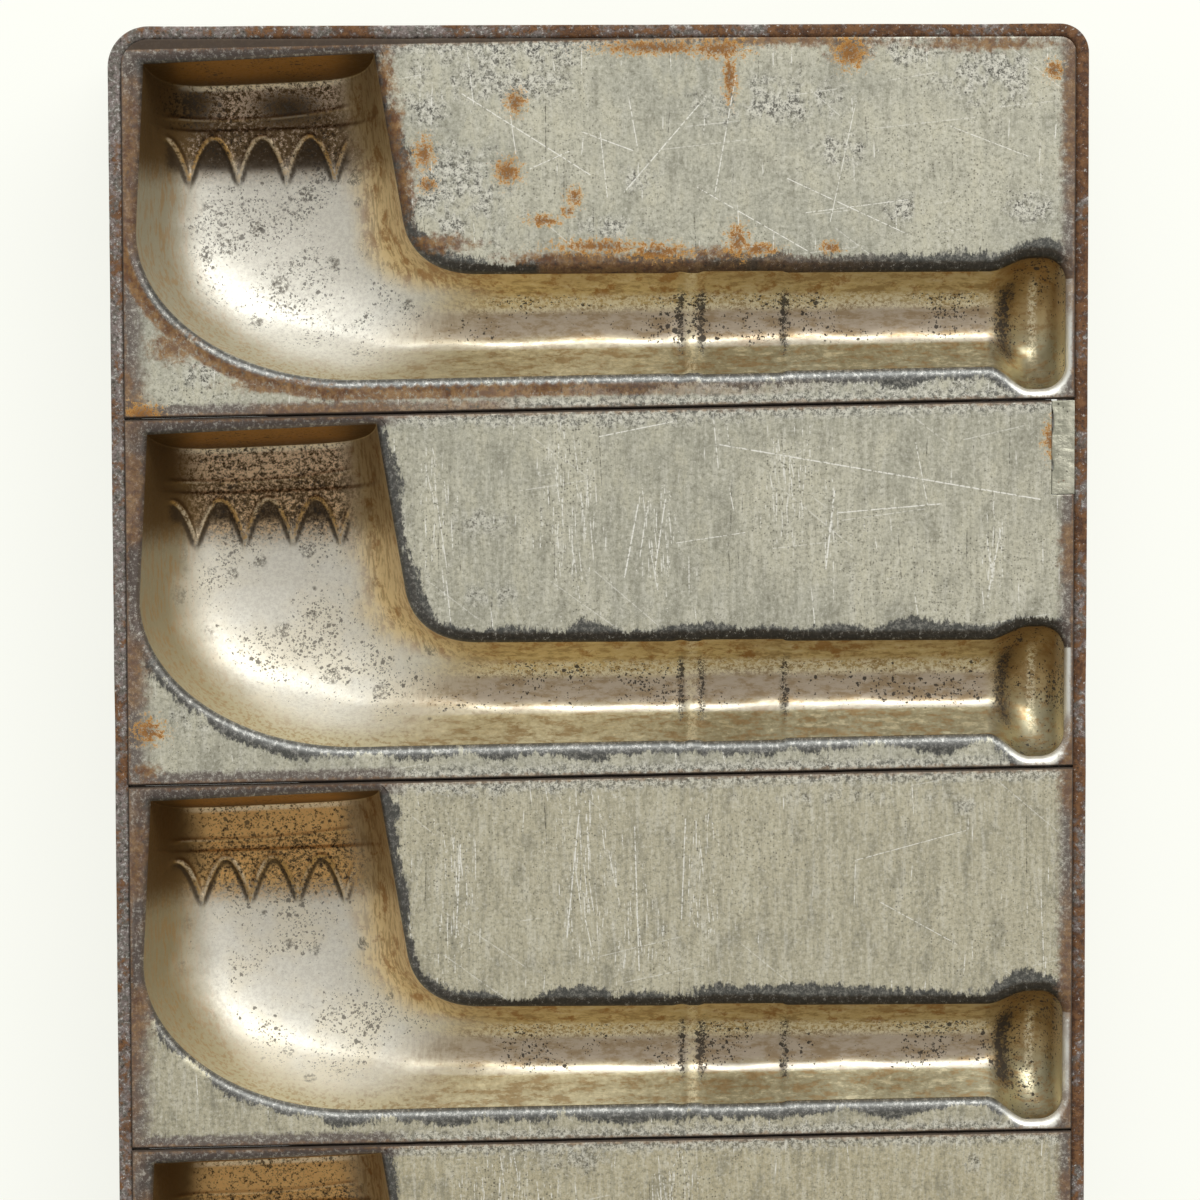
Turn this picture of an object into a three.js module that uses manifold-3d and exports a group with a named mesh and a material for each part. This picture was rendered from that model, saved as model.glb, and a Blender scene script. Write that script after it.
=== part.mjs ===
// A flat confectionery mould: four pressed tinplate cavities, each half of a tobacco pipe, set side by
// side in a frame of strip steel. Millimetres. X runs along the stems, Y across the rows and Z up, out
// of the cavities. The origin is at the middle of the foot that the frame stands on.

import * as THREE from 'three';
import { mergeVertices } from 'three/addons/utils/BufferGeometryUtils.js';
import Module from 'manifold-3d';

// Frame of strip steel stood on edge
const FRAME_WIDTH = 114.3;
const FRAME_HEIGHT = 19;
const STRIP = 1.5;
const STRIP_EASING = 0.3;
const CORNER_TOP_LEFT = 4.8;
const CORNER_TOP_RIGHT = 3.4;
const CORNER_BOTTOM = 4.2;
const BAND_JOINT_GAP = 0.4;

// Splice plate that closes the band's joint, on the inside of the lower end
const SPLICE_LENGTH = 30;
const SPLICE_HEIGHT = 11;
const SPLICE_LIFT = 2.5;
const SPLICE_RIVETS = 4;

// Cross bars under the seams, with a tab bent at each end
const BAR_HEIGHT = 13.5;
const TAB_LENGTH = 9.5;
const BEND_RADIUS = 1.8;

// Rivets, hammered flush in a countersink outside and domed inside
const RIVET_DIAMETER = 2.4;
const RIVET_HEAD_DIAMETER = 4.4;
const RIVET_HEAD_HEIGHT = 1.1;
const COUNTERSINK_DIAMETER = 3.6;
const COUNTERSINK_DEPTH = 0.8;
const RIVET_SPACING = 6;
const RIVET_CLEARANCE = 0.15;

// Pressed plates
const ROWS = 4;
const ROW_PITCH = 43.2;
const SHEET = 0.6;
const SEAM_GAP = 0.3;
const EDGE_GAP = 0.1;
const SLANT_DEGREES = 1.05; // the plates lie a little askew in the frame
const RIM_RADIUS = 1.1;
const RIM_LAND = 0.2; // least flat metal between a rim and the plate's edge

// Bowl of the pipe, from the mouth at the top of the row to the heel
const BOWL_SIDE_MARGIN = 1.45;
const MOUTH_MARGIN = 1.4;
const MOUTH_INSET = 1.05;
const MOUTH_WIDTH = 26.9;
const MOUTH_CANT_DEGREES = 1.5;
const HEEL_WIDTH = 31.2;
const HEEL_RISE = 6.3;
const MOUTH_DEPTH = 11.6;
const BOWL_DEPTH = 13;
const MOUTH_DRAFT_DEGREES = 12;
const MOUTH_FULLNESS = 2.2; // 1 is an ellipse, and more has a wider floor and steeper sides
const HEEL_FULLNESS = 1.3;
const COLLAR_LENGTH = 6.2;
const COLLAR_SWELL = 0.5;
const COLLAR_STEP = 0.6;

// Bend from the bowl into the stem
const BEND_REACH = 26;
const CROTCH_REACH = 9;
const OUTER_FULLNESS = 9.5;
const OUTER_RUN = 15.5;
const CROTCH_FULLNESS = 4.2;
const CROTCH_RUN = 5;
const BEND_DEPTH = 8;
const FLATTEN_START = 0.45; // share of the bend where the round bowl starts to flatten into the stem
const STRAIGHT_RUN = 9.2; // plain stem before the bead, where the sections stand square across it

// Stem, with a bead and a ferrule
const STEM_MARGIN = 3.85;
const STEM_HEIGHT = 12.2;
const STEM_TAPER = 1.1;
const STEM_DEPTH = 5.9;
const STEM_TIP_DEPTH = 5.3;
const STEM_FLOOR = 0.36; // share of the half width that is level floor, with a sloping wall on each side
const STEM_CORNER = 0.14; // softness of the floor's corners, as a share of a wall's width
const BEAD_SETBACK = 45.1; // from the cavity's far end
const BEAD_WIDTH = 1.2;
const BEAD_SWELL = 0.35;
const FERRULE_SETBACK = 42.7;
const FERRULE_LENGTH = 9.8;
const FERRULE_SWELL = 0.4;
const FERRULE_STEP = 0.6;

// Mouthpiece button at the end of the stem
const BUTTON_END_MARGIN = 0.95;
const BUTTON_SIDE_MARGIN = 1.1;
const BUTTON_HEIGHT = 15.3;
const BUTTON_LENGTH = 9;
const BUTTON_CORNER = 2.8;
const BUTTON_DEPTH = 6.9;
const BUTTON_DOME = 4.1;
const BUTTON_FLATNESS = 0.6; // between the round bowl, 0, and the level-floored stem, 1

// Solder: tacks in the corner under the plates, and one filled gap at the end of the second row
const TACK_LEG = 1.3;
const TACK_HOLLOW = 0.25; // share of the leg that is left where the hollow face is pulled to the corner
const TACK_SIDE_LENGTH = 6;
const TACK_FAR_LENGTH = 14;
const TACK_END_LENGTH = 60;
const TACK_TAB_GAP = 0.5;
const PATCH_ROW = 2;
const PATCH_WIDTH = 2.7;
const PATCH_LENGTH = 11;

// Fineness of the round forms
const SECTION_STEPS = 10;
const MOUTH_WALL_STEPS = 2;
const PIPE_BEND_STEPS = 7;
const STRAIGHT_STEPS = 3;
const FLARE_STEPS = 3;
const DOME_STEPS = 4;
const RIM_STEPS = 2;
const BEND_STEPS = 5;
const RIVET_SIDES = 10;
const RIVET_HEAD_STEPS = 3;
const TACK_STEPS = 3;
const LEAST_AREA = 1e-7; // a face smaller than this has two corners in one place

// Lengths that follow from the sizes above
const SLANT = Math.tan(THREE.MathUtils.degToRad(SLANT_DEGREES));
const INNER_X = FRAME_WIDTH / 2 - STRIP;
const INNER_Y = (ROWS * ROW_PITCH) / 2;
const PLATE_X = INNER_X - EDGE_GAP;
const PLATE_Q = (ROW_PITCH - SEAM_GAP) / 2;
const UNDERSIDE = FRAME_HEIGHT - SHEET;
const rowCentre = (row) => INNER_Y - (row - 0.5) * ROW_PITCH;

const steel = { metalness: 0.85, roughness: 0.55 };
const TINPLATE = new THREE.MeshStandardMaterial({ ...steel, color: 0xa8a594, roughness: 0.4 });
const STRIP_STEEL = new THREE.MeshStandardMaterial({ ...steel, color: 0x5a463a, metalness: 0.6 });
const RIVET_STEEL = new THREE.MeshStandardMaterial({ ...steel, color: 0x6b6258 });
const SOLDER = new THREE.MeshStandardMaterial({ ...steel, color: 0x9c9d92, roughness: 0.6 });

const wasm = await Module();
wasm.setup();

const mould = new THREE.Group();

function addPiece(name, geometry, material) {
  const piece = new THREE.Mesh(geometry, material);
  piece.name = name;
  mould.add(piece);
}

// Joins and cuts between closed solids
function toSolid(geometry) {
  const bare = geometry.clone();
  bare.deleteAttribute('normal');
  bare.deleteAttribute('uv');
  const merged = mergeVertices(bare);
  const mesh = new wasm.Mesh({
    numProp: 3,
    vertProperties: new Float32Array(merged.attributes.position.array),
    triVerts: new Uint32Array(merged.index.array),
  });
  return new wasm.Manifold(mesh);
}

function toGeometry(solid) {
  const mesh = solid.getMesh();
  const geometry = new THREE.BufferGeometry();
  geometry.setAttribute('position', new THREE.BufferAttribute(mesh.vertProperties, 3));
  geometry.setIndex(new THREE.BufferAttribute(mesh.triVerts, 1));
  return geometry;
}

function cut(geometry, cutters) {
  const solid = cutters.reduce((rest, cutter) => rest.subtract(toSolid(cutter)), toSolid(geometry));
  return toGeometry(solid);
}

// Plan of a strip of even thickness that follows a line of corners, each bent to its own mid-line radius
function stripPlan(corners, radii, thickness) {
  const spine = [];
  const lay = (point, along) => spine.push({ point, side: new THREE.Vector2(-along.y, along.x) });
  const heading = (i) => corners[i + 1].clone().sub(corners[i]).normalize();
  lay(corners[0], heading(0));
  for (let i = 1; i < corners.length - 1; i++) {
    const before = heading(i - 1);
    const turn = Math.sign(before.cross(heading(i)));
    const sweep = before.angleTo(heading(i));
    const setback = radii[i - 1] * Math.tan(sweep / 2);
    const start = corners[i].clone().addScaledVector(before, -setback);
    const toCentre = new THREE.Vector2(-before.y, before.x).multiplyScalar(turn * radii[i - 1]);
    const centre = start.clone().add(toCentre);
    for (let k = 0; k <= BEND_STEPS; k++) {
      const angle = (turn * sweep * k) / BEND_STEPS;
      const along = before.clone().rotateAround(new THREE.Vector2(), angle);
      lay(start.clone().rotateAround(centre, angle), along);
    }
  }
  lay(corners[corners.length - 1], heading(corners.length - 2));
  const edge = (offset) => spine.map(({ point, side }) => point.clone().addScaledVector(side, offset));
  return new THREE.Shape([...edge(thickness / 2), ...edge(-thickness / 2).reverse()]);
}

// A strip stood on edge between two heights, with its edges eased
function standingStrip(plan, bottom, top) {
  const geometry = new THREE.ExtrudeGeometry(plan, {
    depth: top - bottom - 2 * STRIP_EASING,
    bevelSize: STRIP_EASING,
    bevelThickness: STRIP_EASING,
    bevelOffset: -STRIP_EASING,
    bevelSegments: 1,
    curveSegments: BEND_STEPS,
  });
  return geometry.translate(0, 0, bottom + STRIP_EASING);
}

// A rivet along +Z from the outside face of the band, through a grip of two strips. With a clearance it
// is the hole for that rivet.
function rivet(clearance = 0) {
  const grip = 2 * STRIP;
  const shank = RIVET_DIAMETER / 2 + clearance;
  const sink = COUNTERSINK_DIAMETER / 2 + clearance;
  const profile = [new THREE.Vector2(0, -clearance), new THREE.Vector2(sink, -clearance)];
  profile.push(new THREE.Vector2(sink, 0), new THREE.Vector2(shank, COUNTERSINK_DEPTH));
  if (clearance > 0) {
    profile.push(new THREE.Vector2(shank, grip + clearance), new THREE.Vector2(0, grip + clearance));
  } else {
    profile.splice(2, 1);
    profile.push(new THREE.Vector2(shank, grip));
    const headRadius = RIVET_HEAD_DIAMETER / 2;
    const head = new THREE.EllipseCurve(0, grip, headRadius, RIVET_HEAD_HEIGHT, 0, Math.PI / 2);
    profile.push(...head.getPoints(RIVET_HEAD_STEPS));
    profile[profile.length - 1].x = 0;
  }
  return new THREE.LatheGeometry(profile, RIVET_SIDES).rotateX(Math.PI / 2);
}

// Rivets and their holes, driven inward from the points where they start on the band's outside face
function driven(place, heading, clearance) {
  const turn = new THREE.Quaternion().setFromUnitVectors(new THREE.Vector3(0, 0, 1), heading);
  return rivet(clearance).applyQuaternion(turn).translate(place.x, place.y, place.z);
}

// Cavity plan in row coordinates: p along the row from the middle, q across it from the row's centre line
const END_P = PLATE_X - BUTTON_END_MARGIN;
const STEM_LOW = -PLATE_Q + STEM_MARGIN;
const BUTTON_P = END_P - BUTTON_LENGTH;
const BUTTON_Q = -PLATE_Q + BUTTON_SIDE_MARGIN + BUTTON_HEIGHT / 2;
const HEEL_Q = STEM_LOW + STEM_HEIGHT + HEEL_RISE;
const HEEL_LEFT = new THREE.Vector2(-PLATE_X + BOWL_SIDE_MARGIN, HEEL_Q);
const HEEL_RIGHT = new THREE.Vector2(HEEL_LEFT.x + HEEL_WIDTH, HEEL_Q);
const MOUTH_Q = PLATE_Q - MOUTH_MARGIN;
const MOUTH_RISE = MOUTH_WIDTH * Math.tan(THREE.MathUtils.degToRad(MOUTH_CANT_DEGREES));
const MOUTH_LEFT = new THREE.Vector2(HEEL_LEFT.x + MOUTH_INSET, MOUTH_Q - MOUTH_RISE / 2);
const MOUTH_RIGHT = new THREE.Vector2(MOUTH_LEFT.x + MOUTH_WIDTH, MOUTH_Q + MOUTH_RISE / 2);
const BOWL_LENGTH = MOUTH_LEFT.y - HEEL_Q;
const BEAD_P = END_P - BEAD_SETBACK;
const FERRULE_P = END_P - FERRULE_SETBACK;

// Lower and upper side of the stem at p, before beads and ferrule
function stemSides(p) {
  const along = (p - HEEL_RIGHT.x) / (BUTTON_P - HEEL_RIGHT.x);
  return { low: STEM_LOW, high: STEM_LOW + STEM_HEIGHT - STEM_TAPER * along };
}

// How far the stem swells at p: a half-wave bead, and a ferrule with short ramps
function stemSwell(p) {
  const fromBead = Math.abs(p - BEAD_P) / BEAD_WIDTH;
  const bead = fromBead < 1 ? (BEAD_SWELL * (1 + Math.cos(Math.PI * fromBead))) / 2 : 0;
  const ramp = Math.min(p - FERRULE_P, FERRULE_P + FERRULE_LENGTH - p) / FERRULE_STEP + 0.5;
  return bead + FERRULE_SWELL * THREE.MathUtils.clamp(ramp, 0, 1);
}

// Stations down the pipe. Each has a point on the outer and on the inner side, the depth midway, how far
// the section is flattened and how full it is where it is round
function pipeStations() {
  const stations = [];
  const add = (outer, inner, depth, flatness, fullness = HEEL_FULLNESS) => {
    stations.push({ outer, inner, depth, flatness, fullness });
  };
  const { lerp, smoothstep } = THREE.MathUtils;

  const collarEnd = COLLAR_LENGTH / BOWL_LENGTH;
  const collarStep = COLLAR_STEP / BOWL_LENGTH;
  for (const s of [0, collarEnd / 2, collarEnd - collarStep, collarEnd, (collarEnd + 1) / 2, 1]) {
    const collar = COLLAR_SWELL * (1 - smoothstep(s, collarEnd - collarStep, collarEnd));
    const depth = lerp(MOUTH_DEPTH, BOWL_DEPTH, s) + collar;
    const fullness = lerp(MOUTH_FULLNESS, HEEL_FULLNESS, s);
    const outer = MOUTH_LEFT.clone().lerp(HEEL_LEFT, s);
    add(outer, MOUTH_RIGHT.clone().lerp(HEEL_RIGHT, s), depth, 0, fullness);
  }

  const outerEnd = new THREE.Vector2(HEEL_LEFT.x + BEND_REACH, STEM_LOW);
  const crotch = HEEL_RIGHT.x + CROTCH_REACH;
  const innerEnd = new THREE.Vector2(crotch, stemSides(crotch).high);
  const downLeft = HEEL_LEFT.clone().sub(MOUTH_LEFT).setLength(OUTER_FULLNESS);
  const downRight = HEEL_RIGHT.clone().sub(MOUTH_RIGHT).setLength(CROTCH_FULLNESS);
  const beforeOuter = outerEnd.clone().setX(outerEnd.x - OUTER_RUN);
  const beforeInner = innerEnd.clone().setX(innerEnd.x - CROTCH_RUN);
  const outerBend = new THREE.CubicBezierCurve(
    HEEL_LEFT, HEEL_LEFT.clone().add(downLeft), beforeOuter, outerEnd);
  const innerBend = new THREE.CubicBezierCurve(
    HEEL_RIGHT, HEEL_RIGHT.clone().add(downRight), beforeInner, innerEnd);
  for (let k = 1; k <= PIPE_BEND_STEPS; k++) {
    const t = k / PIPE_BEND_STEPS;
    const depth = lerp(BOWL_DEPTH, BEND_DEPTH, t * t);
    add(outerBend.getPoint(t), innerBend.getPoint(t), depth, smoothstep(t, FLATTEN_START, 1));
  }

  const straight = BEAD_P - BEAD_WIDTH - STRAIGHT_RUN;
  for (let k = 1; k <= STRAIGHT_STEPS; k++) {
    const t = k / STRAIGHT_STEPS;
    const inner = lerp(innerEnd.x, straight, t);
    const outer = new THREE.Vector2(lerp(outerEnd.x, straight, t), STEM_LOW);
    const depth = lerp(BEND_DEPTH, STEM_DEPTH, t * (2 - t));
    add(outer, new THREE.Vector2(inner, stemSides(inner).high), depth, 1);
  }

  const bead = [BEAD_P - BEAD_WIDTH, BEAD_P, BEAD_P + BEAD_WIDTH];
  const ramp = (p) => [p - FERRULE_STEP / 2, p + FERRULE_STEP / 2];
  const ferrule = [...ramp(FERRULE_P), ...ramp(FERRULE_P + FERRULE_LENGTH)];
  const alongStem = [...bead, ...ferrule, BUTTON_P].sort((a, b) => a - b);
  for (const p of alongStem) {
    const { low, high } = stemSides(p);
    const swell = stemSwell(p);
    const t = (p - straight) / (BUTTON_P - straight);
    add(new THREE.Vector2(p, low - swell / 2), new THREE.Vector2(p, high + swell / 2),
      lerp(STEM_DEPTH, STEM_TIP_DEPTH, t) + swell, 1);
  }

  const crown = END_P - BUTTON_DOME;
  const tip = stemSides(BUTTON_P);
  for (let k = 1; k <= FLARE_STEPS; k++) {
    const t = k / FLARE_STEPS;
    const ease = smoothstep(t, 0, 1);
    const p = lerp(BUTTON_P, crown, t);
    add(new THREE.Vector2(p, lerp(tip.low, BUTTON_Q - BUTTON_HEIGHT / 2, ease)),
      new THREE.Vector2(p, lerp(tip.high, BUTTON_Q + BUTTON_HEIGHT / 2, ease)),
      lerp(STEM_TIP_DEPTH, BUTTON_DEPTH, ease), lerp(1, BUTTON_FLATNESS, ease));
  }
  for (let k = 1; k <= DOME_STEPS; k++) {
    const angle = (k / DOME_STEPS) * (Math.PI / 2);
    const p = crown + BUTTON_DOME * Math.sin(angle);
    const past = Math.max(0, p - (END_P - BUTTON_CORNER));
    const half = BUTTON_HEIGHT / 2 - BUTTON_CORNER + Math.sqrt(BUTTON_CORNER ** 2 - past ** 2);
    add(new THREE.Vector2(p, BUTTON_Q - half), new THREE.Vector2(p, BUTTON_Q + half),
      RIM_RADIUS + (BUTTON_DEPTH - RIM_RADIUS) * Math.cos(angle), BUTTON_FLATNESS);
  }
  return stations;
}

// How far a section sags at an angle round it, from 0 at its sides to 1. The bowl's section is the shallow
// side of an ellipse whose middle lies above the rim, so that the walls keep some draft, filled out towards
// the mouth. The stem's has a level floor between two sloping walls, with soft corners.
const WALL_LIFT = 0.15;
const WALL_ANGLE = Math.asin(WALL_LIFT);
const softRamp = (x) => (x + Math.hypot(x, STEM_CORNER)) / 2;

function sectionSag(angle, { flatness, fullness }) {
  const ellipse = Math.max(0, (Math.sin(angle) - WALL_LIFT) / (1 - WALL_LIFT));
  const round = 1 - (1 - ellipse) ** fullness;
  const side = Math.min(1, Math.abs(Math.cos(angle)) / Math.cos(WALL_ANGLE));
  const walled = 1 - softRamp((side - STEM_FLOOR) / (1 - STEM_FLOOR)) / softRamp(1);
  return THREE.MathUtils.lerp(round, walled, flatness);
}

// The cavity as rows of points. The first rows climb down the drafted wall at the mouth. A growth above
// zero gives the back of the sheet: the same horn, larger all round.

function cavityRows(stations, growth) {
  const sides = stations.map((station, i) => {
    const before = stations[Math.max(i - 1, 0)];
    const after = stations[Math.min(i + 1, stations.length - 1)];
    const outward = (side, sign) => {
      const along = after[side].clone().sub(before[side]).normalize();
      return station[side].clone().add(new THREE.Vector2(along.y, -along.x).multiplyScalar(sign * growth));
    };
    return { outer: outward('outer', 1), inner: outward('inner', -1) };
  });
  const down = HEEL_LEFT.clone().sub(MOUTH_LEFT).normalize();
  const draft = Math.tan(THREE.MathUtils.degToRad(MOUTH_DRAFT_DEGREES));
  const rows = [];
  const addRow = (i, wallShare) => {
    const { outer, inner } = sides[i];
    const bulge = stations[i].depth + Math.min(growth, stations[i].depth - RIM_RADIUS) - RIM_RADIUS;
    const beyondMouth = 1 - Math.min(1, stations[i].outer.distanceTo(MOUTH_LEFT) / BOWL_LENGTH);
    const row = [];
    for (let k = 0; k <= SECTION_STEPS; k++) {
      const angle = WALL_ANGLE + ((Math.PI - 2 * WALL_ANGLE) * k) / SECTION_STEPS;
      const across = (1 - Math.cos(angle) / Math.cos(WALL_ANGLE)) / 2;
      const sag = sectionSag(angle, stations[i]);
      const depth = RIM_RADIUS + wallShare * sag * bulge;
      const foot = wallShare * sag * bulge * draft * beyondMouth - growth * beyondMouth;
      const point = outer.clone().lerp(inner, across).addScaledVector(down, foot);
      row.push(new THREE.Vector3(point.x, point.y, FRAME_HEIGHT - depth));
    }
    rows.push(row);
  };
  for (let k = 0; k < MOUTH_WALL_STEPS; k++) addRow(0, k / MOUTH_WALL_STEPS);
  for (let i = 0; i < stations.length; i++) addRow(i, 1);
  return rows;
}

// The rim of the cavity as one loop: down the outer side, across the button, back up the inner side and
// over the mouth
function rimLoop(rows) {
  const last = rows.length - 1;
  const downRows = [0, ...rows.keys()].filter((i, at) => at === 0 || i > MOUTH_WALL_STEPS);
  const outer = downRows.map((i) => rows[i][0]);
  const inner = downRows.map((i) => rows[i][SECTION_STEPS]).reverse();
  return [...outer, ...rows[last].slice(1, -1), ...inner, ...rows[0].slice(1, -1).reverse()];
}

// Loops that carry the rim over its radius to the flat, as wide as the nearest edge of the plate allows
function rimFillet(loop, width, drop, top) {
  const outward = loop.map((point, i) => {
    const along = loop[(i + 1) % loop.length].clone().sub(loop[(i + loop.length - 1) % loop.length]);
    return new THREE.Vector3(along.y, -along.x, 0).normalize();
  });
  const loops = [];
  for (let k = 1; k <= RIM_STEPS; k++) {
    const angle = (k / RIM_STEPS) * (Math.PI / 2);
    loops.push(loop.map((point, i) => {
      const room = Math.min(PLATE_X - Math.abs(point.x), PLATE_Q - Math.abs(point.y)) - RIM_LAND;
      const reach = Math.max(RIM_LAND / 2, Math.min(width, room)) * (1 - Math.cos(angle));
      return point.clone().addScaledVector(outward[i], reach).setZ(top - drop * (1 - Math.sin(angle)));
    }));
  }
  return loops;
}

// Outline of one plate in the frame. Seam edges follow the slant, the outer edges of the first and last
// rows lie square in the frame with its corners, and the patched row steps back at its far end.
function plateOutline(row) {
  const centre = rowCentre(row);
  const outerEdge = INNER_Y - EDGE_GAP;
  const seam = (p, q) => new THREE.Vector2(p, centre + q + SLANT * p);
  const corner = (x, y, radius, from) => {
    const inside = radius - STRIP - EDGE_GAP;
    const arc = new THREE.EllipseCurve(
      x - Math.sign(x) * inside, y - Math.sign(y) * inside, inside, inside, from, from + Math.PI / 2);
    return arc.getPoints(BEND_STEPS);
  };
  const quarter = Math.PI / 2;
  const lowEnd = [
    ...corner(-PLATE_X, -outerEdge, CORNER_BOTTOM, 2 * quarter),
    ...corner(PLATE_X, -outerEdge, CORNER_BOTTOM, 3 * quarter)];
  const highEnd = [
    ...corner(PLATE_X, outerEdge, CORNER_TOP_RIGHT, 0),
    ...corner(-PLATE_X, outerEdge, CORNER_TOP_LEFT, quarter)];
  const low = row === ROWS ? lowEnd : [seam(-PLATE_X, -PLATE_Q), seam(PLATE_X, -PLATE_Q)];
  const high = row === 1 ? highEnd : [seam(PLATE_X, PLATE_Q), seam(-PLATE_X, PLATE_Q)];
  if (row === PATCH_ROW) {
    const step = PLATE_X - PATCH_WIDTH;
    const foot = PLATE_Q - PATCH_LENGTH;
    high.splice(0, 1, seam(PLATE_X, foot), seam(step, foot), seam(step, PLATE_Q));
  }
  return [...low, ...high];
}

// Faces of one closed skin, gathered as corner points
class Skin {
  constructor() {
    this.corners = [];
  }

  quad(a, b, c, d) {
    for (const [u, v, w] of [[a, b, c], [a, c, d]]) {
      const area = v.clone().sub(u).cross(w.clone().sub(u)).length();
      if (area > LEAST_AREA) this.corners.push(u, v, w);
    }
  }

  // A wall between two loops of equal count, facing left of the way from the first to the second
  wall(first, second) {
    first.forEach((point, i) => {
      const next = (i + 1) % first.length;
      this.quad(point, first[next], second[next], second[i]);
    });
  }

  grid(rows, facingUp) {
    for (let i = 0; i + 1 < rows.length; i++) {
      for (let k = 0; k + 1 < rows[i].length; k++) {
        const ring = [rows[i][k], rows[i + 1][k], rows[i + 1][k + 1], rows[i][k + 1]];
        this.quad(...(facingUp ? ring : ring.reverse()));
      }
    }
  }

  // A flat face at one height between an outline and a hole in it. The triangles come facing up.
  flat(outline, hole, facingUp) {
    const points = [...outline, ...hole];
    for (const triangle of THREE.ShapeUtils.triangulateShape(outline, [hole])) {
      const corners = triangle.map((index) => points[index]);
      this.corners.push(...(facingUp ? corners : corners.reverse()));
    }
  }

  geometry() {
    return mergeVertices(new THREE.BufferGeometry().setFromPoints(this.corners));
  }
}

function cavityPlate(row) {
  const stations = pipeStations();
  const lean = (point) => new THREE.Vector3(point.x, rowCentre(row) + point.y + SLANT * point.x, point.z);
  const outline = plateOutline(row);
  const skin = new Skin();
  const face = (growth, top, facingUp) => {
    const rows = cavityRows(stations, growth);
    const rim = rimLoop(rows);
    const loops = rimFillet(rim, RIM_RADIUS - growth, RIM_RADIUS - growth, top);
    const placed = [rim, ...loops].map((loop) => loop.map(lean));
    skin.grid(rows.map((points) => points.map(lean)), facingUp);
    for (let i = 0; i + 1 < placed.length; i++) {
      const pair = [placed[i], placed[i + 1]];
      skin.wall(...(facingUp ? pair.reverse() : pair));
    }
    const edge = outline.map((point) => new THREE.Vector3(point.x, point.y, top));
    skin.flat(edge, placed[placed.length - 1], facingUp);
    return edge;
  };
  const topEdge = face(0, FRAME_HEIGHT, true);
  const lowEdge = face(SHEET, UNDERSIDE, false);
  skin.wall(lowEdge, topEdge);
  return skin.geometry();
}

// Frame band: one strip bent round the plates, its ends meeting at the middle of the lower end
function frameBand(holes) {
  const x = INNER_X + STRIP / 2;
  const y = INNER_Y + STRIP / 2;
  const corners = [[BAND_JOINT_GAP / 2, -y], [x, -y], [x, y], [-x, y], [-x, -y], [-BAND_JOINT_GAP / 2, -y]];
  const radii = [CORNER_BOTTOM, CORNER_TOP_RIGHT, CORNER_TOP_LEFT, CORNER_BOTTOM].map((r) => r - STRIP / 2);
  const plan = stripPlan(corners.map(([a, b]) => new THREE.Vector2(a, b)), radii, STRIP);
  return cut(standingStrip(plan, 0, FRAME_HEIGHT), holes);
}

// Cross bar under a seam, square in the frame: its tabs turn up the row at the near end and down the row
// at the far end, where the cavities leave room
function crossBar(y, holes) {
  const x = INNER_X - STRIP / 2;
  const places = [[-x, y + TAB_LENGTH], [-x, y], [x, y], [x, y - TAB_LENGTH]];
  const corners = places.map(([a, b]) => new THREE.Vector2(a, b));
  const plan = stripPlan(corners, [BEND_RADIUS, BEND_RADIUS], STRIP);
  return cut(standingStrip(plan, UNDERSIDE - BAR_HEIGHT, UNDERSIDE), holes);
}

// A tack of solder with a hollow face, along a line in the corner between the band and the plates
function solderTack(length) {
  const section = new THREE.Shape();
  section.moveTo(0, 0);
  section.lineTo(0, -TACK_LEG);
  section.quadraticCurveTo(TACK_HOLLOW * TACK_LEG, -TACK_HOLLOW * TACK_LEG, TACK_LEG, 0);
  const options = { depth: length, bevelEnabled: false, curveSegments: TACK_STEPS };
  return new THREE.ExtrudeGeometry(section, options);
}

// Stands a tack's section against a face of the band that looks along the given way
function placeTack(name, length, start, inward) {
  const along = new THREE.Vector3().crossVectors(inward, new THREE.Vector3(0, 0, 1));
  const frame = new THREE.Matrix4().makeBasis(inward, new THREE.Vector3(0, 0, 1), along).setPosition(start);
  addPiece(name, solderTack(length).applyMatrix4(frame), SOLDER);
}

// Pressed plates, first row at the top
for (let row = 1; row <= ROWS; row++) {
  addPiece(`cavity_plate_${row}`, cavityPlate(row), TINPLATE);
}

// Rivets of the cross bars' tabs, two above each other in each, and their holes
const barMiddle = UNDERSIDE - BAR_HEIGHT / 2;
const tabMiddle = (TAB_LENGTH + BEND_RADIUS) / 2;
const bandHoles = [];
let barRivets = 0;
for (let seam = 1; seam < ROWS; seam++) {
  const y = INNER_Y - seam * ROW_PITCH;
  const barHoles = [];
  for (const side of [-1, 1]) {
    const heading = new THREE.Vector3(-side, 0, 0);
    for (const level of [1, -1]) {
      const z = barMiddle + (level * RIVET_SPACING) / 2;
      const place = new THREE.Vector3((side * FRAME_WIDTH) / 2, y - side * tabMiddle, z);
      const hole = driven(place, heading, RIVET_CLEARANCE);
      bandHoles.push(hole);
      barHoles.push(hole);
      barRivets += 1;
      addPiece(`bar_rivet_${barRivets}`, driven(place, heading), RIVET_STEEL);
    }
  }
  addPiece(`cross_bar_${seam}`, crossBar(y, barHoles), STRIP_STEEL);
}

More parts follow.
